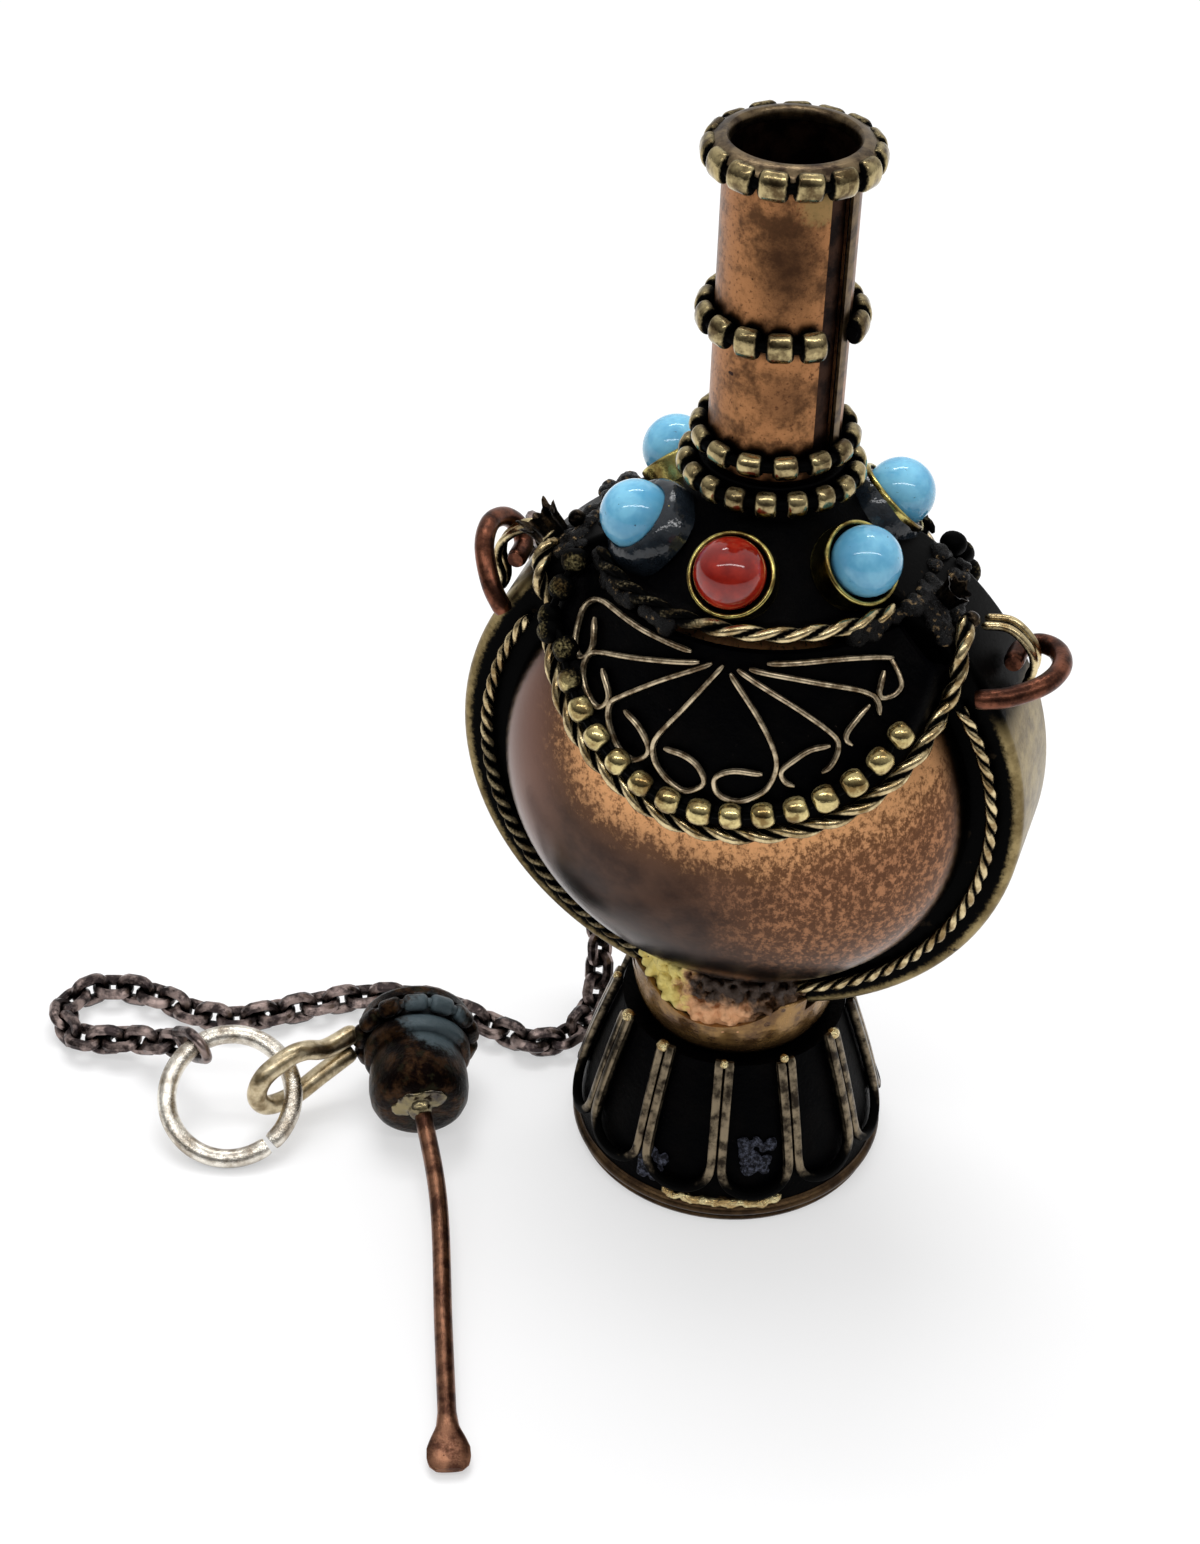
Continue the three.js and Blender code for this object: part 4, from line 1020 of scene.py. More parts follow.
def gunmetal():
    finish = Finish("gunmetal")
    metal = finish.mottled(finish.noise(1.2), 0.4, 0.62, colour(58, 50, 50), colour(158, 140, 134))
    # Patina and painted shade where the links crowd together.
    base = finish.patina_and_shade_in_recesses(0.8, 0.35, 0.9, colour(6, 5, 5), metal)
    finish.relief(finish.noise(0.3), 0.03)
    return finish.paint(base, finish.between(finish.noise(0.6), 0.2, 0.42))


def stopper_bronze():
    """Dark bronze, brown and olive, with a crust of blue-grey patina on the side that lies up."""
    finish = Finish("stopper_bronze")
    cloud = finish.noise(1.5, 5, 0.65)
    fine = finish.noise(0.4, 5, 0.7)
    metal = finish.mottled(cloud, 0.44, 0.66, colour(14, 8, 7), colour(66, 45, 28))
    base = finish.mottled(finish.noise(1.0, 3), 0.54, 0.66, metal, colour(34, 31, 21))
    ragged = finish.frayed(finish.distance((-20.4, -6.3, 8.4), (0.6, 0.9, 0.9)), fine, 1.8)
    crust = finish.band(ragged, 3.3, 2.5)
    base = finish.blend(crust, base, colour(64, 78, 84))
    # Patina and painted shade in its recesses.
    base = finish.patina_and_shade_in_recesses(0.8, 0.25, 0.75, colour(14, 10, 8), base)
    finish.relief(fine, 0.1)
    return finish.paint(base, finish.between(fine, 0.24, 0.5), finish.between(crust, 1.0, 0.2))


def dark_bore():
    finish = Finish("dark_bore")
    finish.relief(finish.noise(0.4), 0.03)
    base = finish.mottled(finish.noise(1.6, 5), 0.4, 0.65, colour(24, 16, 14), colour(62, 42, 32))
    return finish.paint(base, 0.5)


def glass_bead(name, tint, deep):
    """A glossy opaque glass bead with faint cloudiness and a few dark specks."""
    finish = Finish(name, 0.0, 0.08)
    body = finish.mottled(finish.noise(1.8, 3), 0.35, 0.7, deep, tint)
    for socket, value in (
        ("Specular IOR Level", 0.35),
        ("Coat Weight", 0.45),
        ("Coat Roughness", 0.03),
        ("Subsurface Weight", 0.2),
        ("Subsurface Radius", (0.4, 0.5, 0.6)),
        ("Subsurface Scale", MM),
    ):
        finish.shader.inputs[socket].default_value = value
    finish.relief(finish.noise(0.9, 2), 0.01)
    return finish.paint(finish.mottled(finish.noise(0.28, 2), 0.715, 0.76, body, colour(30, 34, 36)))


def dried_glue():
    """Clear glue gone grey that ran out round a bead."""
    finish = Finish("dried_glue", 0.0, 0.07)
    finish.relief(finish.noise(0.7, 3), 0.06)
    return finish.paint(finish.blend(finish.noise(0.8, 3), colour(9, 11, 15), colour(38, 46, 54)))


# Camera and light


def place_camera():
    """The camera that was fitted to the photograph's circles."""
    right = Vector((0.94665661, 0.32122033, 0.02566636))
    up = Vector((-0.2139162, 0.56685733, 0.79555806))
    back = Vector((0.24100026, -0.75861074, 0.60533347))
    data = bpy.data.cameras.new("camera")
    data.sensor_width = 36
    data.lens = 66.618
    data.clip_start = 0.01
    camera = bpy.data.objects.new("camera", data)
    bpy.context.collection.objects.link(camera)
    turn = Matrix((right, up, back)).transposed().to_4x4()
    camera.matrix_world = Matrix.Translation(Vector((37.837, -153.274, 151.959)) * MM) @ turn
    bpy.context.scene.camera = camera


def soft_lamp(name, place, aim, size, power):
    data = bpy.data.lights.new(name, "AREA")
    data.shape = "RECTANGLE"
    data.size = size[0] * MM
    data.size_y = size[1] * MM
    data.energy = power
    lamp = bpy.data.objects.new(name, data)
    bpy.context.collection.objects.link(lamp)
    towards = (Vector(aim) - Vector(place)).to_track_quat("-Z", "Y").to_matrix().to_4x4()
    lamp.matrix_world = Matrix.Translation(Vector(place) * MM) @ towards
    return lamp


def maths_node(tree, operation, *values):
    """A maths node whose inputs are numbers or other nodes' sockets."""
    node = tree.nodes.new("ShaderNodeMath")
    node.operation = operation
    for socket, value in zip(node.inputs, values):
        if isinstance(value, float):
            socket.default_value = value
        else:
            tree.links.new(value, socket)
    return node.outputs["Value"]


def mix_shaders(tree, share, first, second):
    node = tree.nodes.new("ShaderNodeMixShader")
    for socket, source in zip(node.inputs, (share, first, second)):
        tree.links.new(source, socket)
    return node.outputs["Shader"]


def paint_room():
    """A grey room, lighter above and behind, which the camera sees as white."""
    world = bpy.data.worlds.new("studio")
    bpy.context.scene.world = world
    world.use_nodes = True
    tree = world.node_tree
    nodes, links = tree.nodes, tree.links
    split = nodes.new("ShaderNodeSeparateXYZ")
    links.new(nodes.new("ShaderNodeTexCoord").outputs["Generated"], split.inputs["Vector"])
    lighter_above = maths_node(tree, "MULTIPLY_ADD", split.outputs["Z"], 0.55, 0.3)
    lighter_behind = maths_node(tree, "MULTIPLY_ADD", split.outputs["Y"], 0.35, lighter_above)
    ramp = nodes.new("ShaderNodeValToRGB")
    dark, light = ramp.color_ramp.elements
    dark.position, dark.color = 0.1, (0.08, 0.078, 0.075, 1)
    light.position, light.color = 0.9, (1.0, 1.0, 1.0, 1)
    links.new(lighter_behind, ramp.inputs["Fac"])
    room = nodes["Background"]
    links.new(ramp.outputs["Color"], room.inputs["Color"])
    room.inputs["Strength"].default_value = 0.82
    white = nodes.new("ShaderNodeBackground")
    white.inputs["Strength"].default_value = 1.0
    rays = nodes.new("ShaderNodeLightPath").outputs
    seen = maths_node(tree, "MAXIMUM", rays["Is Camera Ray"], rays["Is Transmission Ray"])
    shown = mix_shaders(tree, seen, room.outputs["Background"], white.outputs["Background"])
    links.new(shown, nodes["World Output"].inputs["Surface"])


def hang_lamps():
    window = soft_lamp("window", (-50, 90, 380), (-5, 0, 35), (260, 200), 0.75)
    window.visible_glossy = False
    soft_lamp("front_strip", (72, -246, 480), (0, 0, 50), (900, 30), 0.85)
    soft_lamp("rear_strip", (-84, 213, 494), (0, 0, 50), (320, 30), 0.4)
    bpy.context.scene.view_settings.view_transform = "Standard"


def lay_table():
    """A white table that keeps the bottle's shadow: half of what the camera sees of it is plain white."""
    select_only()
    bpy.ops.mesh.primitive_plane_add(size=2.4, location=(0, 0, -0.00002))
    table = bpy.context.object
    table.name = "table"
    material = bpy.data.materials.new("white_table")
    material.use_nodes = True
    tree = material.node_tree
    nodes = tree.nodes
    matte = nodes["Principled BSDF"]
    matte.inputs["Base Color"].default_value = (0.93, 0.93, 0.94, 1)
    matte.inputs["Roughness"].default_value = 0.6
    matte.inputs["Specular IOR Level"].default_value = 0.2
    glow = nodes.new("ShaderNodeEmission")
    glow.inputs["Color"].default_value = (1, 1, 1, 1)
    rays = nodes.new("ShaderNodeLightPath").outputs
    seen = maths_node(tree, "MAXIMUM", rays["Is Camera Ray"], rays["Is Glossy Ray"])
    seen = maths_node(tree, "MAXIMUM", seen, rays["Is Transmission Ray"])
    share = maths_node(tree, "MULTIPLY", seen, 0.5)
    shown = mix_shaders(tree, share, matte.outputs["BSDF"], glow.outputs["Emission"])
    tree.links.new(shown, nodes["Material Output"].inputs["Surface"])
    table.data.materials.append(material)


# Chain


def link_outline(half_straight, radius, steps):
    """The centre line of an oval link, as distances along it and across it."""
    turns = np.linspace(0, TURN, steps, endpoint=False)
    return radius * np.cos(turns) + half_straight * np.sign(np.cos(turns)), radius * np.sin(turns)


def make_chain(metal):
    path = evenly(eased(CHAIN_ROUTE, 8), 0.6)
    at = lengths_along(path)
    ahead, across, above = frames_along(path, np.array([0.2, -0.6, 0.75]))
    lengthwise, sideways = link_outline((CHAIN_LINK - CHAIN_WIDTH) / 2, (CHAIN_WIDTH - CHAIN_WIRE) / 2, 20)
    uneven = np.random.RandomState(4)
    shells = []
    count = int((at[-1] - CHAIN_LINK) / CHAIN_PITCH) + 1
    for number in range(count):
        place = CHAIN_LINK / 2 + (at[-1] - CHAIN_LINK) * number / (count - 1)
        i = int(np.argmin(np.abs(at - place)))
        lean = math.radians(CHAIN_LEAN if number % 2 else -CHAIN_LEAN) + uneven.uniform(-0.15, 0.15)
        side = across[i] * math.cos(lean) + above[i] * math.sin(lean)
        points = path[i] + np.outer(lengthwise, ahead[i]) + np.outer(sideways, side)
        lowest = points[:, 2].min() - CHAIN_WIRE / 2 * 1.02
        points = points + np.array([0, 0, max(0, -lowest)])
        shells.append(tube(points, circle(CHAIN_WIRE, sides=8), np.cross(ahead[i], side), closed=True))
    chain = piece_from("chain_links", shells)
    dress(chain, "bottle", metal, "gunmetal", "chain")


# Foot


def foot_radius(z):
    """The radius of the foot's cone at a height, with its slight belly."""
    rise = (z - FOOT_BOTTOM_Z) / (FOOT_TOP_Z - FOOT_BOTTOM_Z)
    cone = FOOT_BOTTOM_RADIUS + (FOOT_TOP_RADIUS - FOOT_BOTTOM_RADIUS) * rise
    return cone + FOOT_BELLY * np.sin(np.pi * rise)


def make_foot():
    brass = foot_brass()
    edge = FOOT_PLATE_TOP / 2
    plate = [
        (0, 0), (FOOT_PLATE_RADIUS, 0),
        *arc((FOOT_PLATE_RADIUS, edge), edge, -90, 90, 4), (0, FOOT_PLATE_TOP),
    ]
    dress(spun("foot_plate", plate), "bottle", brass, "copper", "base_plate")
    rim = [
        (FOOT_RIM_INSIDE, FOOT_PLATE_TOP), (FOOT_RIM_RADIUS, FOOT_PLATE_TOP),
        *arc((FOOT_RIM_RADIUS, 1.05), 0.4, -80, 80, 6),
        (FOOT_RIM_RADIUS, FOOT_BOTTOM_Z), (FOOT_RIM_INSIDE, FOOT_BOTTOM_Z),
    ]
    rim = [(min(radius, FOOT_RIM_WIDEST), z) for radius, z in rim]
    dress(spun("foot_rolled_rim", rim), "bottle", brass, "antique_brass", "foot_rim")
    outside = [(float(foot_radius(z)), z) for z in np.linspace(FOOT_BOTTOM_Z, FOOT_TOP_Z, 10)]
    wall = [
        (0, FOOT_HOLLOW_Z), (6.9, FOOT_HOLLOW_Z), (10.45, FOOT_BOTTOM_Z), *outside,
        (7.9, FOOT_TOP_Z), (6.8, FOOT_DISH_Z), (0, FOOT_DISH_Z),
    ]
    dress(spun("foot_wall", wall), "bottle", blackened_sheet(), "blackened_sheet", "foot_cone")
    petals = piece_from("foot_petals", [petal(number) for number in range(PETALS)])
    dress(petals, "bottle", petal_brass(), "antique_brass", "petal_wires")


def petal(number):
    """One petal: a flat wire bent to a long U, its legs against the next petals' legs."""
    middle = PETAL_TURN + 360 / PETALS * number
    uneven = np.random.RandomState(20 + number).uniform(-1, 1, 4)
    bend_z = PETAL_BEND_Z + 0.2 * uneven[0]
    lowest_z = PETAL_LOWEST_Z + 0.12 * uneven[1]
    tops = PETAL_TOP_Z + 0.25 * uneven[2:]

    def leg_angle(z):
        return 180 / PETALS - np.degrees((PETAL_WIRE / 2 + 0.01) / foot_radius(z))

    down = [(-leg_angle(z), z) for z in np.linspace(tops[0], bend_z, 8)]
    turns = np.linspace(0, np.pi, 13)[1:-1]
    bend = [(-leg_angle(bend_z) * np.cos(t), bend_z - (bend_z - lowest_z) * np.sin(t) ** 0.8) for t in turns]
    up = [(leg_angle(z), z) for z in np.linspace(bend_z, tops[1], 8)]
    height = WIRE_SEAT + PETAL_WIRE / 2
    path = [around_axis(foot_radius(z) + height, z, middle + offset) for offset, z in down + bend + up]
    path = evenly(np.array(path), 0.3)
    section = tapered(flattened(PETAL_WIRE, PETAL_WIRE * 1.05, squareness=0.5), len(path), ends=1, tip=0.8)
    vertices, faces, wear = tube(path, section, from_axis)
    return vertices, faces, wear * np.clip((vertices[:, 2] - 2.9) / 2.2, 0.05, 1)


# Saddle between foot and body, and the solder and dirt round the foot


def cut_away(piece, *cutters):
    for cutter in cutters:
        shear = piece.modifiers.new("cut", "BOOLEAN")
        shear.operation = "DIFFERENCE"
        shear.solver = "EXACT"
        shear.object = cutter
        select_only(piece)
        bpy.ops.object.modifier_apply(modifier="cut")
        bpy.data.objects.remove(cutter)
    return piece


def cylinder(radius, length, z, sides, turn=0.0):
    """A cylinder on the bottle's axis; a turn of a quarter lays it along Y."""
    select_only()
    bpy.ops.mesh.primitive_cylinder_add(
        vertices=sides, radius=radius * MM, depth=length * MM, location=(0, 0, z * MM), rotation=(turn, 0, 0)
    )
    return bpy.context.object


def make_saddle_bowl():
    cup = spun("saddle_bowl", SADDLE_BOWL)
    arch = cylinder(SADDLE_CUT_RADIUS, 30, SADDLE_CUT_Z, 128, math.pi / 2)
    band_radius, band_depth = SADDLE_BAND_CUT
    cut_away(cup, arch, cylinder(band_radius, band_depth, BODY_Z, 128, math.pi / 2))
    soften = cup.modifiers.new("soften", "BEVEL")
    soften.width = 0.12 * MM
    soften.segments = 3
    soften.limit_method = "ANGLE"
    select_only(cup)
    bpy.ops.object.modifier_apply(modifier="soften")
    smooth_shaded(cup, 45)
    dress(cup, "bottle", saddle_gold(), "gold_brass", "saddle_cup")


def crumb(place, size, flatness=1.0):
    """A soft ball for lumps to melt."""
    return tuple(place), (size, size, size * flatness)


def make_saddle_solder():
    """Solder that fills the saddle from the bowl's edge up to the dome."""
    metal = solder_gold()
    for face, turn in FACES:
        uneven = np.random.RandomState(30)
        places = []
        for angle in np.linspace(-56, 56, 15):
            x = SOLDER_RADIUS * math.sin(math.radians(angle))
            y = -SOLDER_RADIUS * math.cos(math.radians(angle))
            under_dome = 1 - (max(0, -y - BAND_HALF_DEPTH) / DOME_HEIGHT) ** 2
            roof = BODY_Z - math.sqrt(max(0, DOME_RADIUS**2 * under_dome - x * x))
            floor = SADDLE_CUT_Z - math.sqrt((SADDLE_CUT_RADIUS - 0.2) ** 2 - min(6.6, abs(x)) ** 2) - 0.3
            for z in np.arange(floor, roof + 0.1, 0.75):
                size = 0.66 + 0.16 * uneven.uniform(-1, 1)
                shift = uneven.uniform(-0.2, 0.2, 3)
                inwards = 1 - 0.045 * (z - floor)
                centre = np.array([x * inwards, y * inwards, z]) + shift
                places.append(crumb(centre, size, 0.8))
                for knob in uneven.uniform(-1, 1, (3, 4)):
                    reach = (7.05 + 0.2 * knob[3]) / SOLDER_RADIUS
                    spot = (x * reach + 0.4 * knob[0], y * reach, z + 0.4 * knob[2])
                    if math.hypot(*spot[:2]) < SOLDER_REACH:
                        places.append(crumb(spot, 0.34 + 0.1 * knob[1]))
        lump = lumps(f"saddle_solder_{face}", places, amount=0.15, grain=0.45, seed_name=f"solder_{face}")
        lump.matrix_world = Matrix.Rotation(math.radians(turn), 4, "Z")
        dress(settle(lump), "bottle", metal, "gold_brass")


def make_foot_solder():
    """A run of crumbs on the front of the foot's rim and a blob on each meeting of two petals."""
    metal = crumb_solder()
    crumbs = []
    uneven = np.random.RandomState(31).uniform(-1, 1, (40, 3))
    for angle, (outward, upward, growth) in zip(np.linspace(-6, 36, 40), uneven):
        place = around_axis(FOOT_BOTTOM_RADIUS + 0.12 * outward, 1.8 + 0.15 * upward, angle)
        crumbs.append(crumb(place, 0.4 + 0.12 * growth, 0.85))
    run = lumps("foot_solder", crumbs, amount=0.15, grain=0.35, seed_name="crumbs")
    dress(run, "bottle", metal, "gold_brass")
    blobs = []
    for number, (sideways, upward, growth) in enumerate(np.random.RandomState(35).uniform(-1, 1, (PETALS, 3))):
        angle = PETAL_TURN + 360 / PETALS * (number + 0.5) + 2.5 * sideways
        place = around_axis(foot_radius(FOOT_TOP_Z) + 0.45, 13.05 + 0.15 * upward, angle)
        blobs.append(crumb(place, 0.42 + 0.1 * growth, 0.9))
    tops = lumps("petal_solder", blobs, amount=0.12, grain=0.35, seed_name="blobs")
    dress(tops, "bottle", metal, "gold_brass")


def make_foot_crust():
    """Two patches of flux near the foot's edge, each at an angle and a height."""
    grey = grey_crust()
    for name, angle, z, spread in (("left_crust", -14, 3.6, 0.8), ("right_crust", 28, 5.6, 1.0)):
        spots = []
        for sideways, upward, growth in np.random.RandomState(33).uniform(-1, 1, (16, 3)):
            height = z + upward * spread * 1.2
            place = around_axis(foot_radius(height) + 0.1, height, angle + sideways * spread * 6)
            spots.append(crumb(place, 0.42 + 0.12 * growth))
        patch = lumps(name, spots, amount=0.3, grain=0.4, seed_name=name)
        dress(patch, "bottle", grey, "blackened_sheet")


# Body


def dome_depth(x, z, lift=0.0):
    """How far forward a dome raised by lift stands over a point of the face."""
    share = np.hypot(x, z - BODY_Z) / (DOME_RADIUS + lift)
    rise = (DOME_HEIGHT + lift) * np.sqrt(np.maximum(0, 1 - share**2))
    return BAND_HALF_DEPTH + np.maximum(rise, lift)


def make_rim_band():
    edge = BAND_HALF_DEPTH
    centre = BAND_RADIUS - BAND_CORNER
    shoulder = 18.6
    profile = [
        (BAND_INSIDE, -edge),
        (shoulder, -edge),
        *arc((centre, BAND_CORNER - edge), BAND_CORNER, -90, 0, 5),
        *arc((centre, edge - BAND_CORNER), BAND_CORNER, 0, 90, 5),
        (shoulder, edge),
        (BAND_INSIDE, edge),
        (BAND_INSIDE, edge - BAND_SHEET),
        (BAND_RADIUS - BAND_SHEET, edge - BAND_SHEET),
        (BAND_RADIUS - BAND_SHEET, BAND_SHEET - edge),
        (BAND_INSIDE, BAND_SHEET - edge),
    ]
    band = spun("rim_band_sheet", profile, steps=144, about="Y")
    cut_away(band, cylinder(NECK_HOLE_RADIUS, 16, 54, 48))
    smooth_shaded(band, 40)
    dress(band, "bottle", band_brass(), "antique_brass", "rim_band")


def dome_curve(radius, height, start, end, steps):
    """Profile points from the dome's edge to its middle, or back."""
    curve = []
    for t in np.linspace(start, end, steps):
        middle = t == math.pi / 2
        curve.append((0 if middle else radius * math.cos(t), -BAND_HALF_DEPTH - height * math.sin(t)))
    return curve


def make_domes():
    inside = dome_curve(*DOME_INSIDE, math.pi / 2, 0, 13)
    outside = dome_curve(DOME_RADIUS, DOME_HEIGHT, 0, math.pi / 2, 26)
    copper = dome_copper()
    for face in ("front", "back"):
        dome = spun(f"{face}_copper_dome", inside + outside, steps=128, about="Y", angle=50)
        if face == "back":
            dome.matrix_world = Matrix.Rotation(math.pi, 4, "Z")
            settle(dome)
        dress(dome, "bottle", copper, "copper", f"{face}_dome")


def make_rim_ropes(brass):
    """A rope round each dome, open at the top and less rubbed at its lower left."""
    steps = 240
    angles = np.radians(np.linspace(RIM_ROPE_TOP, -180 - RIM_ROPE_TOP, steps))
    depth = BAND_HALF_DEPTH + WIRE_SEAT + RIM_ROPE_WIRE / 2
    across, up = RIM_ROPE_RADIUS * np.cos(angles), RIM_ROPE_RADIUS * np.sin(angles)
    path = np.stack([across, np.full(steps, -depth), BODY_Z + up], 1)
    shells = []
    for vertices, faces, wear in rope(path, RIM_ROPE_WIRE * 1.08, RIM_ROPE_TWIST, twist=-1):
        kept = np.where(vertices[:, 0] < 0, np.clip((vertices[:, 2] - 28) / 12, 0.45, 1), 1)
        shells.append((vertices, faces, wear * kept))
    for face, turn in FACES:
        piece = piece_from(f"{face}_rim_twist", turned_round(shells, turn))
        dress(piece, "bottle", brass, "antique_brass", f"{face}_rim_rope")


# Shields


def bib_edge(degrees, inset):
    """A point on the shield's lower edge moved in by inset, at an angle from the lowest point."""
    angle = np.radians(degrees)
    inset = inset + np.interp(degrees, *zip(*BIB_CUT))
    x = (BIB_HALF_WIDTH - inset) * np.sin(angle)
    return x, BIB_ARC_Z - (BIB_DROP - inset) * np.cos(angle)


BIB_BOTTOM = bib_edge(np.linspace(-BIB_END_ANGLE, BIB_END_ANGLE, 169), BIB_INSET)


def bib_depth(x, z, lift=BIB_LIFT):
    """How far forward the shield stands: lofted from the dome at its edge to the round of the shoulder."""
    bottom = np.interp(x, *BIB_BOTTOM)
    rise = np.clip((z - bottom) / (BIB_TOP_Z - bottom), 0, 1)
    top_round = np.sqrt(np.maximum((BIB_TOP_RADIUS + lift - BIB_UNDERSIDE) ** 2 - x * x, 0))
    top = np.maximum(top_round, BAND_HALF_DEPTH + lift)
    loft = dome_depth(x, bottom, lift) * (1 - rise) + top * rise + 2 * rise * (1 - rise)
    return np.maximum(loft, dome_depth(x, z, lift))


def bib_normal(x, z):
    step = 0.1
    slope_x = bib_depth(x + step, z) - bib_depth(x - step, z)
    slope_z = bib_depth(x, z + step) - bib_depth(x, z - step)
    normal = np.stack([-slope_x, -2 * step * np.ones_like(slope_x), -slope_z], -1)
    return normal / np.linalg.norm(normal, axis=-1, keepdims=True)


def on_bib(x, z, height):
    """Places at a height over the shield, along its normal."""
    x, z = np.asarray(x, float), np.asarray(z, float)
    return np.stack([x, -bib_depth(x, z), z], -1) + bib_normal(x, z) * height


def from_bib(path):
    return bib_normal(path[:, 0], path[:, 2])


def bib_sheet():
    """The shield's sheet: an outer layer, an inner layer and the edge between them."""
    columns, rows = 56, 16
    grid = []
    for lift in (BIB_LIFT, BIB_UNDERSIDE):
        for i in range(columns + 1):
            across = 2 * i / columns - 1
            edge_x, edge_z = bib_edge(across * BIB_END_ANGLE, BIB_INSET)
            down = np.linspace(0, 1, rows + 1)
            x = BIB_TOP_HALF_WIDTH * across * (1 - down) + edge_x * down
            z = BIB_TOP_Z * (1 - down) + edge_z * down
            grid.extend(zip(x, -bib_depth(x, z, lift), z))

    def at(layer, i, j):
        return (layer * (columns + 1) + i) * (rows + 1) + j

    faces = []
    for i in range(columns):
        for j in range(rows):
            faces.append((at(0, i, j), at(0, i, j + 1), at(0, i + 1, j + 1), at(0, i + 1, j)))
            faces.append((at(1, i, j), at(1, i + 1, j), at(1, i + 1, j + 1), at(1, i, j + 1)))
        faces.append((at(0, i, 0), at(0, i + 1, 0), at(1, i + 1, 0), at(1, i, 0)))
        faces.append((at(0, i, rows), at(1, i, rows), at(1, i + 1, rows), at(0, i + 1, rows)))
    last = columns
    for j in range(rows):
        faces.append((at(0, 0, j), at(1, 0, j), at(1, 0, j + 1), at(0, 0, j + 1)))
        faces.append((at(0, last, j), at(0, last, j + 1), at(1, last, j + 1), at(1, last, j)))
    return [(np.array(grid), faces, np.ones(len(grid)))]


def bib_rope_shells(face):
    """The front's rope runs on over the band's edge; the back's ends short of it."""
    front = face == "front"
    end = BIB_END_ANGLE + 2 if front else BACK_ROPE_END_ANGLE
    x, z = bib_edge(np.linspace(-end, end, 160), 0)
    edge = np.stack([x, -dome_depth(x, z, BIB_ROPE_WIRE / 2 + WIRE_SEAT), z], 1)
    if front:
        points = [BIB_ROPE_LEFT_END, edge[::4], BIB_ROPE_RIGHT_END]
    else:
        points = [edge[:1] - [0, 0, 0.3], edge[2:-2:4], edge[-1:] + [0, 0, 0.3]]
    return rope(eased(np.concatenate(points), 8), BIB_ROPE_WIRE, BIB_ROPE_TWIST, twist=1)


def make_bib_beads(face, turn, metal):
    """The row of beads inside the rope, with a duller run of them up the left side."""
    x, z = bib_edge(np.linspace(*BIB_BEAD_ENDS, 40), BIB_BEAD_INSET)
    bends = np.concatenate([BIB_BEADS_UP[::-1], np.stack([x, z], 1)[::4]])
    line = evenly(eased(np.pad(bends, ((0, 0), (0, 1))), 8), 0.1)
    path = on_bib(line[:, 0], line[:, 1], BIB_BEAD / 2 - 0.15)
    places = np.linspace(0, lengths_along(path)[-1], BIB_BEADS)
    bead = bead_shape(BIB_BEAD * 0.96, BIB_BEAD, BIB_BEAD * 0.9, BIB_BEAD * 0.42)
    row = strung(f"{face}_shield_beads", bead, path, places, from_bib, core=0.5, seed=7)
    spots = np.empty(len(row.data.vertices) * 3)
    row.data.vertices.foreach_get("co", spots)
    x, _, z = spots.reshape(-1, 3).T / MM
    marks = row.data.attributes["wear"].data
    wear = np.empty(len(x), np.float32)
    marks.foreach_get("value", wear)
    dull = np.where(x < 0, np.clip((47.2 - z) / 3.5, 0.35, 1), 1)
    marks.foreach_set("value", (wear * dull).astype(np.float32))
    row.matrix_world = Matrix.Rotation(math.radians(turn), 4, "Z")
    dress(settle(row), "bottle", metal, "antique_brass", f"{face}_bib_beads")


def scroll_shells():
    shells = []
    for line in SCROLLS:
        flat = evenly(np.pad(eased(line, 6), ((0, 0), (0, 1))), 0.22)
        path = on_bib(flat[:, 0], flat[:, 1], SCROLL_SEAT + SCROLL_WIRE / 2)
        wire = flattened(SCROLL_WIRE * 0.8, SCROLL_WIRE * 1.15, sides=12, squareness=0.6)
        section = tapered(wire, len(path), ends=2, tip=0.5)
        shells.append(tube(path, section, from_bib))
    return shells


def make_shields(rope_metal):
    black = blackened_sheet()
    beads = bead_brass()
    scrolls = scroll_brass()
    for face, turn in FACES:
        for name, shells, metal, slot, node in (
            ("shield", bib_sheet(), black, "blackened_sheet", "bib_plate"),
            ("shield_rope", bib_rope_shells(face), rope_metal, "antique_brass", "bib_rope"),
            ("scrolls", scroll_shells(), scrolls, "antique_brass", "filigree"),
            ("shoulder_twist", shoulder_rope_shells(), rope_metal, "antique_brass", "shoulder_rope"),
        ):
            piece = piece_from(f"{face}_{name}", turned_round(shells, turn))
            dress(piece, "bottle", metal, slot, f"{face}_{node}")
        make_bib_beads(face, turn, beads)


# Shoulder


def shoulder_rope_shells():
    """The rope under the shoulder's brim, dark towards the left."""
    path = around_axis(SHOULDER_ROPE_RADIUS, SHOULDER_ROPE_Z, np.linspace(-64, 64, 120))
    shells = []
    strands = rope(path, SHOULDER_ROPE_WIRE, SHOULDER_ROPE_TWIST, twist=-1, facing=(0, 0, 1))
    for vertices, faces, wear in strands:
        shells.append((vertices, faces, wear * np.clip((vertices[:, 0] + 3.5) / 5, 0.3, 1)))
    return shells


def make_shoulder():
    cone = spun("shoulder_sheet", SHOULDER)
    dress(cone, "bottle", blackened_sheet(), "blackened_sheet", "shoulder_cone")


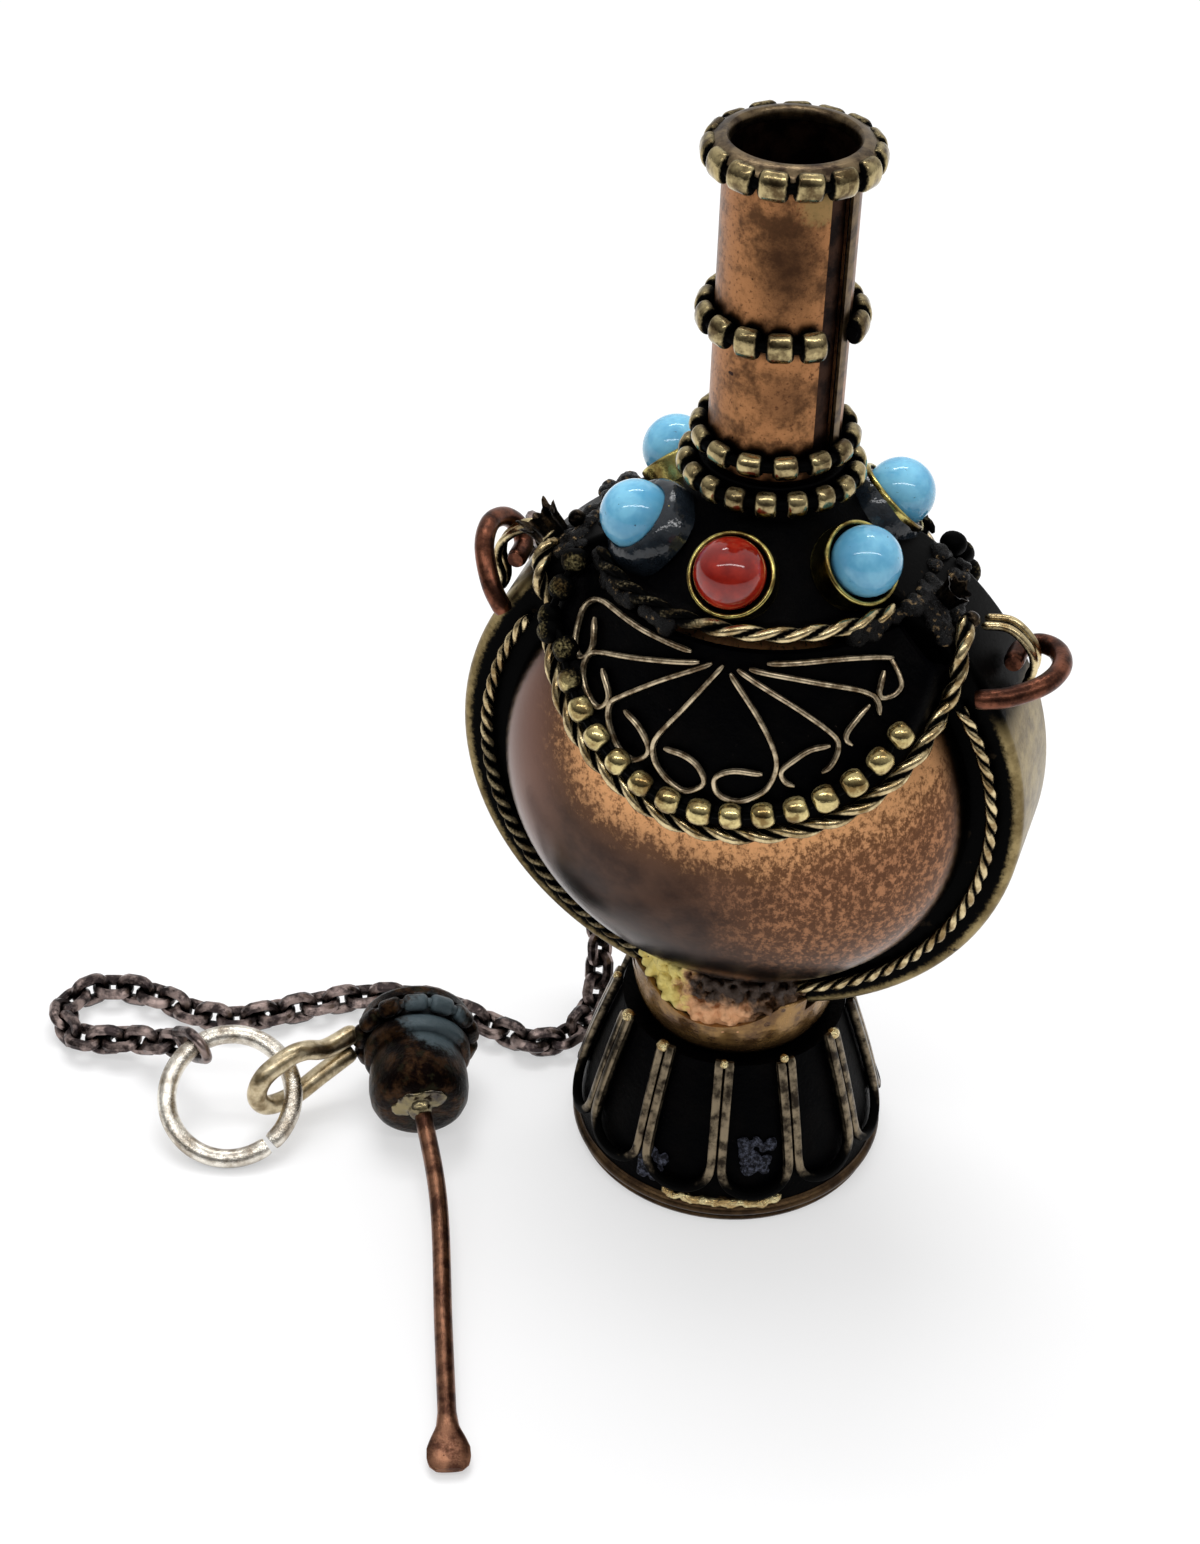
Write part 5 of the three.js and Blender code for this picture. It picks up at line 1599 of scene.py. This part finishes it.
def make_shoulder_crust():
    """Black solder on each side: over the band and on under the brim."""
    crust = black_crust()
    for name, side in (("left", -1), ("right", 1)):
        spots = []
        for along, across, rise, growth in np.random.RandomState(60 + side).uniform(-1, 1, (44, 4)):
            x = side * (11.8 + 1.4 * along)
            z = BODY_Z + math.sqrt(BAND_RADIUS**2 - x * x) + 0.05 * rise
            spots.append(crumb((x, 4.4 * across, z), 0.55 + 0.2 * growth, 0.7))
        for angle, rise, growth in np.random.RandomState(64 + side).uniform(-1, 1, (26, 3)):
            azimuth = (-40 + 24 * angle) if side < 0 else (55 + 10 * angle)
            spots.append(crumb(around_axis(11.0, 50.9 + 0.5 * rise, azimuth), 0.5 + 0.15 * growth))
        lump = lumps(f"{name}_shoulder_crust", spots, amount=0.25, grain=0.6, seed_name=f"{name}_shoulder")
        dress(lump, "bottle", crust, "blackened_sheet")


def on_stone_seat(piece, number):
    """Leans a piece made upright at the origin onto its place in the ring of stones."""
    turn = Matrix.Rotation(TURN * number / STONES, 4, "Z")
    seat = Matrix.Translation(Vector((0, -STONE_RING_RADIUS, STONE_RING_Z)) * MM)
    lean = Matrix.Rotation(math.radians(90 - STONE_LEAN), 4, "X")
    piece.matrix_world = turn @ seat @ lean
    return settle(piece)


def make_stones():
    """Six glass beads, coral at the front and the back, each in its bezel."""
    turquoise = glass_bead("turquoise_glass", colour(128, 198, 228), colour(96, 170, 208))
    coral = glass_bead("coral_glass", colour(172, 42, 26), colour(126, 22, 14))
    metal = bezel_brass()
    ball = [(0, -1.3), *arc((0, 0), STONE_RADIUS, -34, 86, 20), (0, STONE_RADIUS)]
    wall = [
        (BEZEL_INSIDE, -2.1), (BEZEL_OUTSIDE, -2.1), (BEZEL_OUTSIDE, -0.62),
        *arc((BEZEL_OUTSIDE - BEZEL_ROUND, -0.48), BEZEL_ROUND, 0, 180, 6), (BEZEL_INSIDE, -0.7),
    ]
    glue = dried_glue()
    for number in range(STONES):
        label = number + 1
        glass, slot = (coral, "coral_glass") if number % 3 == 0 else (turquoise, "turquoise_glass")
        stone = on_stone_seat(spun(f"glass_bead_{label}", ball, steps=64, angle=80), number)
        dress(stone, "bottle", glass, slot, f"stone_{label}")
        cup = on_stone_seat(spun(f"bead_cup_{label}", wall, steps=72), number)
        dress(cup, "bottle", metal, "antique_brass", f"bezel_{label}")
        if number in GLUED_STONES:
            run = spun(f"glue_{label}", glue_skirt(*GLUED_STONES[number]))
            run = roughened(run, amount=0.3, grain=1.6, seed_name=f"glue_{number}")
            dress(on_stone_seat(run, number), "bottle", glue, "turquoise_glass")


def glue_skirt(wide, top):
    """The profile of the glue round a stone: how far it ran out and how high it stands."""
    return [
        (2.15, top - 0.2), (2.4, top), (2.75, top - 0.1), (2.95 + wide / 2, top - 0.5),
        (3.05 + wide, -1.6), (3.1 + wide, -2.2), (2.15, -2.2),
    ]


# Neck


def beaded_ring(name, inner_radius, z, count, bead, finish, node, opening=0, seed=1):
    """A ring of milled wire: bead is each bead's length, thickness and height."""
    length, thickness, height = bead
    angles = SEAM_ANGLE + opening / 2 + np.linspace(0, 360 - opening, 181)
    path = around_axis(inner_radius + thickness / 2, z, angles)
    places = lengths_along(path)[-1] * (np.arange(count) + 0.5) / count
    shape = bead_shape(length, height, thickness, round_off=min(bead) * 0.36)
    core = thickness * 0.6
    ring = strung(name, shape, path, places, from_axis, core, seed, closed=opening == 0)
    dress(ring, "bottle", finish, "antique_brass", node)


def make_neck():
    inner_tube = [
        (BORE_RADIUS, TUBE_BOTTOM_Z), (TUBE_RADIUS, TUBE_BOTTOM_Z),
        (TUBE_RADIUS, NECK_TOP_Z), (BORE_RADIUS, NECK_TOP_Z),
    ]
    dress(spun("neck_inner_tube", inner_tube), "bottle", dark_bore(), "dark_copper", "neck_tube")
    half = SLEEVE_SHEET / 2
    height = NECK_TOP_Z - SLEEVE_BOTTOM_Z
    rise = np.linspace(-height / 2, height / 2, 24)
    sheet = np.array([(-half, z) for z in rise[::-1]] + [(half, z) for z in rise])
    half_seam = math.degrees(SEAM_HALF_WIDTH / SLEEVE_RADIUS)
    angles = SEAM_ANGLE + np.linspace(half_seam, 360 - 2.1 * half_seam, 120)
    middle = around_axis(SLEEVE_RADIUS - half, SLEEVE_BOTTOM_Z + height / 2, angles)
    sleeve = piece_from("neck_copper_sleeve", [tube(middle, sheet)])
    dress(sleeve, "bottle", neck_copper(), "copper", "neck_sleeve")
    strip = np.array([(-half, -0.5), (half, -0.5), (half, 0.5), (-half, 0.5)]) * (1, STRIP_HEIGHT)
    strip_angles = SEAM_ANGLE + half_seam + np.linspace(0.6, 9.2, 8)
    path = around_axis(SLEEVE_RADIUS + STRIP_LIFT, STRIP_BOTTOM_Z + STRIP_HEIGHT / 2, strip_angles)
    seam = piece_from("neck_seam_sheet", [tube(path, strip)])
    dress(seam, "bottle", strip_brass(), "antique_brass", "neck_seam_strip")
    make_neck_rings()
    dress(spun("mouth_rim", LIP), "bottle", lip_brass(), "antique_brass", "mouth_lip")


def make_neck_rings():
    beads = neck_bead_brass()
    sleeve = SLEEVE_RADIUS
    for name, node, radius, z, count, bead, opening, seed in (
        ("collar_beads", "neck_ring_lower", COLLAR_RADIUS, 57.6, 18, (1.48, 1.4, 1.75), 0, 11),
        ("neck_foot_beads", "neck_ring_upper", sleeve, 59.95, 14, (1.72, 1.25, 1.5), 0, 12),
        ("neck_middle_beads", "neck_mid_ring", sleeve, 68.3, 14, (1.66, 1.25, 1.95), 26, 13),
        ("mouth_beads", "mouth_ring", sleeve + 0.1, 78.9, 15, (1.9, 1.3, 1.9), 0, 14),
    ):
        beaded_ring(name, radius, z, count, bead, beads, node, opening, seed)


# Side fittings


def crown_shells(size, torn):
    """A small fluted cup, open at the top and torn along its edge."""
    around = np.linspace(0, TURN, 70, endpoint=False)
    flute = 1 - CROWN_FLUTE * (0.5 + 0.5 * np.cos(CROWN_PETALS * around))
    ragged = torn * ((1 - flute) / CROWN_FLUTE + 0.5 * np.sin(3 * around + 1))
    rings = []
    for radius, z, share in CROWN_RINGS:
        reach = radius * (1 + (flute - 1) * share)
        top = z - ragged * (1 if z > 1.8 else 0)
        rings.append(np.stack([reach * np.cos(around), reach * np.sin(around), top], 1))
    count, sides = len(rings), len(around)
    faces = []
    for i in range(count - 1):
        for k in range(sides):
            onward = (k + 1) % sides
            here, there = i * sides, (i + 1) * sides
            faces.append((here + k, here + onward, there + onward, there + k))
    faces.append(tuple(range(sides))[::-1])
    faces.append(tuple(range((count - 1) * sides, count * sides)))
    vertices = np.concatenate(rings) * size
    return vertices, faces, vertices[:, 2] / size / CROWN_HEIGHT


def on_band(shell, height, degrees, forward):
    """A shell made at the origin, set on the rim band at an angle from its top."""
    vertices, faces, wear = shell
    lifted = vertices + np.array([0, -forward, BAND_RADIUS + height])
    turn = np.array(Matrix.Rotation(math.radians(degrees), 3, "Y"))
    return lifted @ turn.T + np.array([0, 0, BODY_Z]), faces, wear


def from_body(path):
    return path * np.array([1, 0, 1]) - np.array([0, 0, BODY_Z])


def make_side_fittings(rope_metal):
    ring_copper = dark_copper("ring_copper", colour(132, 82, 62), colour(62, 38, 30))
    black = crown_bronze()
    for side, outwards, tilt, crown_angle, ball_angle, forward, crown_size, torn in SIDES:
        rows = [[(outwards * x, y, z) for x, z in EYE_BENDS] for y in (-0.5, 0.5)]
        path = evenly(eased(rows[0] + rows[1][::-1], 6), 0.15)
        section = tapered(circle(EYE_WIRE), len(path))
        eye = piece_from(f"{side}_wire_eye", [tube(path, section, from_body)])
        dress(eye, "bottle", rope_metal, "antique_brass", f"{side}_eye")
        out_x, out_z = math.cos(math.radians(tilt)), math.sin(math.radians(tilt))
        hinge_x, hinge_z = RING_HINGE
        bends = [(outwards * (hinge_x + out * out_x), back, hinge_z + out * out_z) for out, back in RING_BENDS]
        path = evenly(eased(bends, 8), 0.2)
        section = tapered(circle(RING_WIRE, sides=20), len(path), ends=2, tip=0.82)
        ring = piece_from(f"{side}_copper_ring", [tube(path, section, np.array([-outwards * out_z, 0, out_x]))])
        dress(ring, f"{side}_ring", ring_copper, "dark_copper", f"{side}_ring")
        cup = on_band(crown_shells(crown_size, torn), SIDE_SEAT, crown_angle, forward)
        crown = piece_from(f"{side}_fluted_crown", [cup])
        dress(crown, "bottle", black, "blackened_sheet", f"{side}_crown")
        select_only()
        bpy.ops.mesh.primitive_uv_sphere_add(segments=32, ring_count=20, radius=SMALL_BALL_RADIUS * MM)
        ball = bpy.context.object
        ball.name = f"{side}_small_ball"
        turn = Matrix.Rotation(math.radians(ball_angle), 4, "Y")
        lift = Matrix.Translation(Vector((0, -forward, BAND_RADIUS + SMALL_BALL_RADIUS + SIDE_SEAT)) * MM)
        ball.matrix_world = Matrix.Translation((0, 0, BODY_Z * MM)) @ turn @ lift
        smooth_shaded(settle(ball), 80)
        dress(ball, "bottle", black, "antique_brass", f"{side}_ball")


# Split ring and the link that holds it


def on_split_ring(degrees):
    """Places on the split ring's centre line."""
    angle = np.radians(degrees)
    across = np.multiply.outer(np.cos(angle), RING_ACROSS)
    return SPLIT_RING_CENTRE + SPLIT_RING_RADIUS * (across + np.multiply.outer(np.sin(angle), RING_RISE))


def make_split_ring():
    path = on_split_ring(SPLIT_RING_GAP_ANGLE + np.linspace(2.5, 357.5, 120))
    section = tapered(flattened(SPLIT_RING_WIRE, SPLIT_RING_WIRE, 20, 0.92), len(path), ends=1, tip=0.9)
    ring = piece_from("silver_split_ring", [tube(path, section, np.cross(RING_ACROSS, RING_RISE))])
    dress(ring, "split_ring", silver_wire(), "silver", "split_ring")


def unit(vector):
    return vector / np.linalg.norm(vector)


def make_ring_link(metal):
    """The larger link that ties the chain's last link to the split ring."""
    hooked = on_split_ring(RING_LINK_ANGLE)
    last, before = np.array(CHAIN_ROUTE[-1]), np.array(CHAIN_ROUTE[-2])
    held = last - unit(last - before) * CHAIN_WIRE / 2
    ahead = unit(hooked - held)
    along_ring = on_split_ring(RING_LINK_ANGLE + 1) - on_split_ring(RING_LINK_ANGLE - 1)
    normal = along_ring - np.dot(along_ring, ahead) * ahead
    side = np.cross(unit(normal), ahead)
    near = held - ahead * (CHAIN_WIRE / 2 + CHAIN_LINK_PLAY + RING_LINK_WIRE / 2)
    far = hooked + ahead * (SPLIT_RING_WIRE / 2 + RING_LINK_PLAY + RING_LINK_WIRE / 2)
    half_straight = np.linalg.norm(far - near) / 2 - RING_LINK_HALF_WIDTH
    lengthwise, sideways = link_outline(half_straight, RING_LINK_HALF_WIDTH, 36)
    points = (near + far) / 2 + np.outer(lengthwise, ahead) + np.outer(sideways, side)
    link = piece_from("ring_link", [tube(points, circle(RING_LINK_WIRE), normal, closed=True)])
    dress(link, "bottle", metal, "gunmetal")


# Stopper


def stopper_pose():
    """Lays the stopper, which is modelled upright, on its side."""
    heading, dip = STOPPER_HEADING, STOPPER_DIP
    level = math.cos(dip)
    capwards = Vector((-math.sin(heading) * level, math.cos(heading) * level, math.sin(dip)))
    eyewards = Vector((-math.cos(heading), -math.sin(heading), 0))
    height = STOPPER_RING_RADIUS * level + STOPPER_BEAD_BULGE
    turn = Matrix((eyewards, capwards.cross(eyewards), capwards)).transposed().to_4x4()
    return Matrix.Translation(Vector((*STOPPER_PLACE, height)) * MM) @ turn


def laid_down(piece):
    piece.matrix_world = stopper_pose()
    return settle(piece)


def make_stopper():
    bronze = stopper_bronze()
    plug = laid_down(spun("stopper_barrel", PLUG, angle=50))
    dress(plug, "stopper", bronze, "bronze", "stopper_plug")
    path = around_axis(STOPPER_RING_RADIUS, 0, np.linspace(0, 360, 241))
    places = lengths_along(path)[-1] * (np.arange(STOPPER_BEADS) + 0.5) / STOPPER_BEADS
    bead = bead_shape(*STOPPER_BEAD, round_off=0.42)
    ring = strung("stopper_beads", bead, path, places, from_axis, core=0.8, seed=21, closed=True)
    dress(laid_down(ring), "stopper", bronze, "bronze", "stopper_bead_ring")
    cap = laid_down(spun("stopper_top", CAP, angle=50))
    dress(cap, "stopper", bronze, "bronze", "stopper_cap")
    make_stopper_eye()
    make_dipper()
    blob = lumps("dipper_solder", DIPPER_SOLDER, amount=0.25, grain=0.5, seed_name="dipper_solder")
    dress(laid_down(blob), "stopper", grey_solder(), "bronze")


def make_stopper_eye():
    """A loop of heavy wire from the cap's side round the split ring and back."""
    hooked = stopper_pose().inverted() @ Vector(on_split_ring(EYE_ANGLE_ON_RING) * MM)
    middle = np.array(hooked) / MM
    ahead = unit(middle - EYE_ROOT)
    tall = unit(np.array([0, 1, 0]) - ahead[1] * ahead)
    loop = [middle + along * ahead + up * tall for along, up in EYE_ON_RING]
    path = evenly(eased([EYE_ROOT + [0, 0.5, 0.3], *loop, EYE_ROOT + [0.2, -1.0, -0.2]], 8), 0.25)
    section = tapered(circle(STOPPER_EYE_WIRE, sides=16), len(path), ends=2, tip=0.75)
    eye = piece_from("stopper_wire_eye", [tube(path, section, np.cross(ahead, tall))])
    dress(laid_down(eye), "stopper", eye_bronze(), "antique_brass", "stopper_eye")


def make_dipper():
    """The long wire under the plug, beaten flat to a small spoon at its end."""
    path = evenly(eased(DIPPER_BENDS, 24), 0.35)
    left = lengths_along(path)[-1] - lengths_along(path)
    from_tip, widths, thicknesses = SPOON.T
    width, thick = np.interp(left, from_tip, widths), np.interp(left, from_tip, thicknesses)
    section = np.array([flattened(w, t, sides=20, squareness=0.85) for w, t in zip(width, thick)])
    dipper = piece_from("dipper_wire", [tube(path, section, (0, 1, 0))])
    metal = dark_copper("dipper_copper", colour(136, 96, 74), colour(72, 46, 36))
    dress(laid_down(dipper), "stopper", metal, "bronze", "dipper")


chain_metal = gunmetal()
twisted_brass = rope_brass()
place_camera()
make_chain(chain_metal)
paint_room()
hang_lamps()
lay_table()
make_foot()
make_saddle_bowl()
make_saddle_solder()
make_foot_solder()
make_foot_crust()
make_rim_band()
make_domes()
make_rim_ropes(twisted_brass)
make_shields(twisted_brass)
make_shoulder()
make_shoulder_crust()
make_stones()
make_neck()
make_side_fittings(twisted_brass)
make_split_ring()
make_ring_link(chain_metal)
make_stopper()
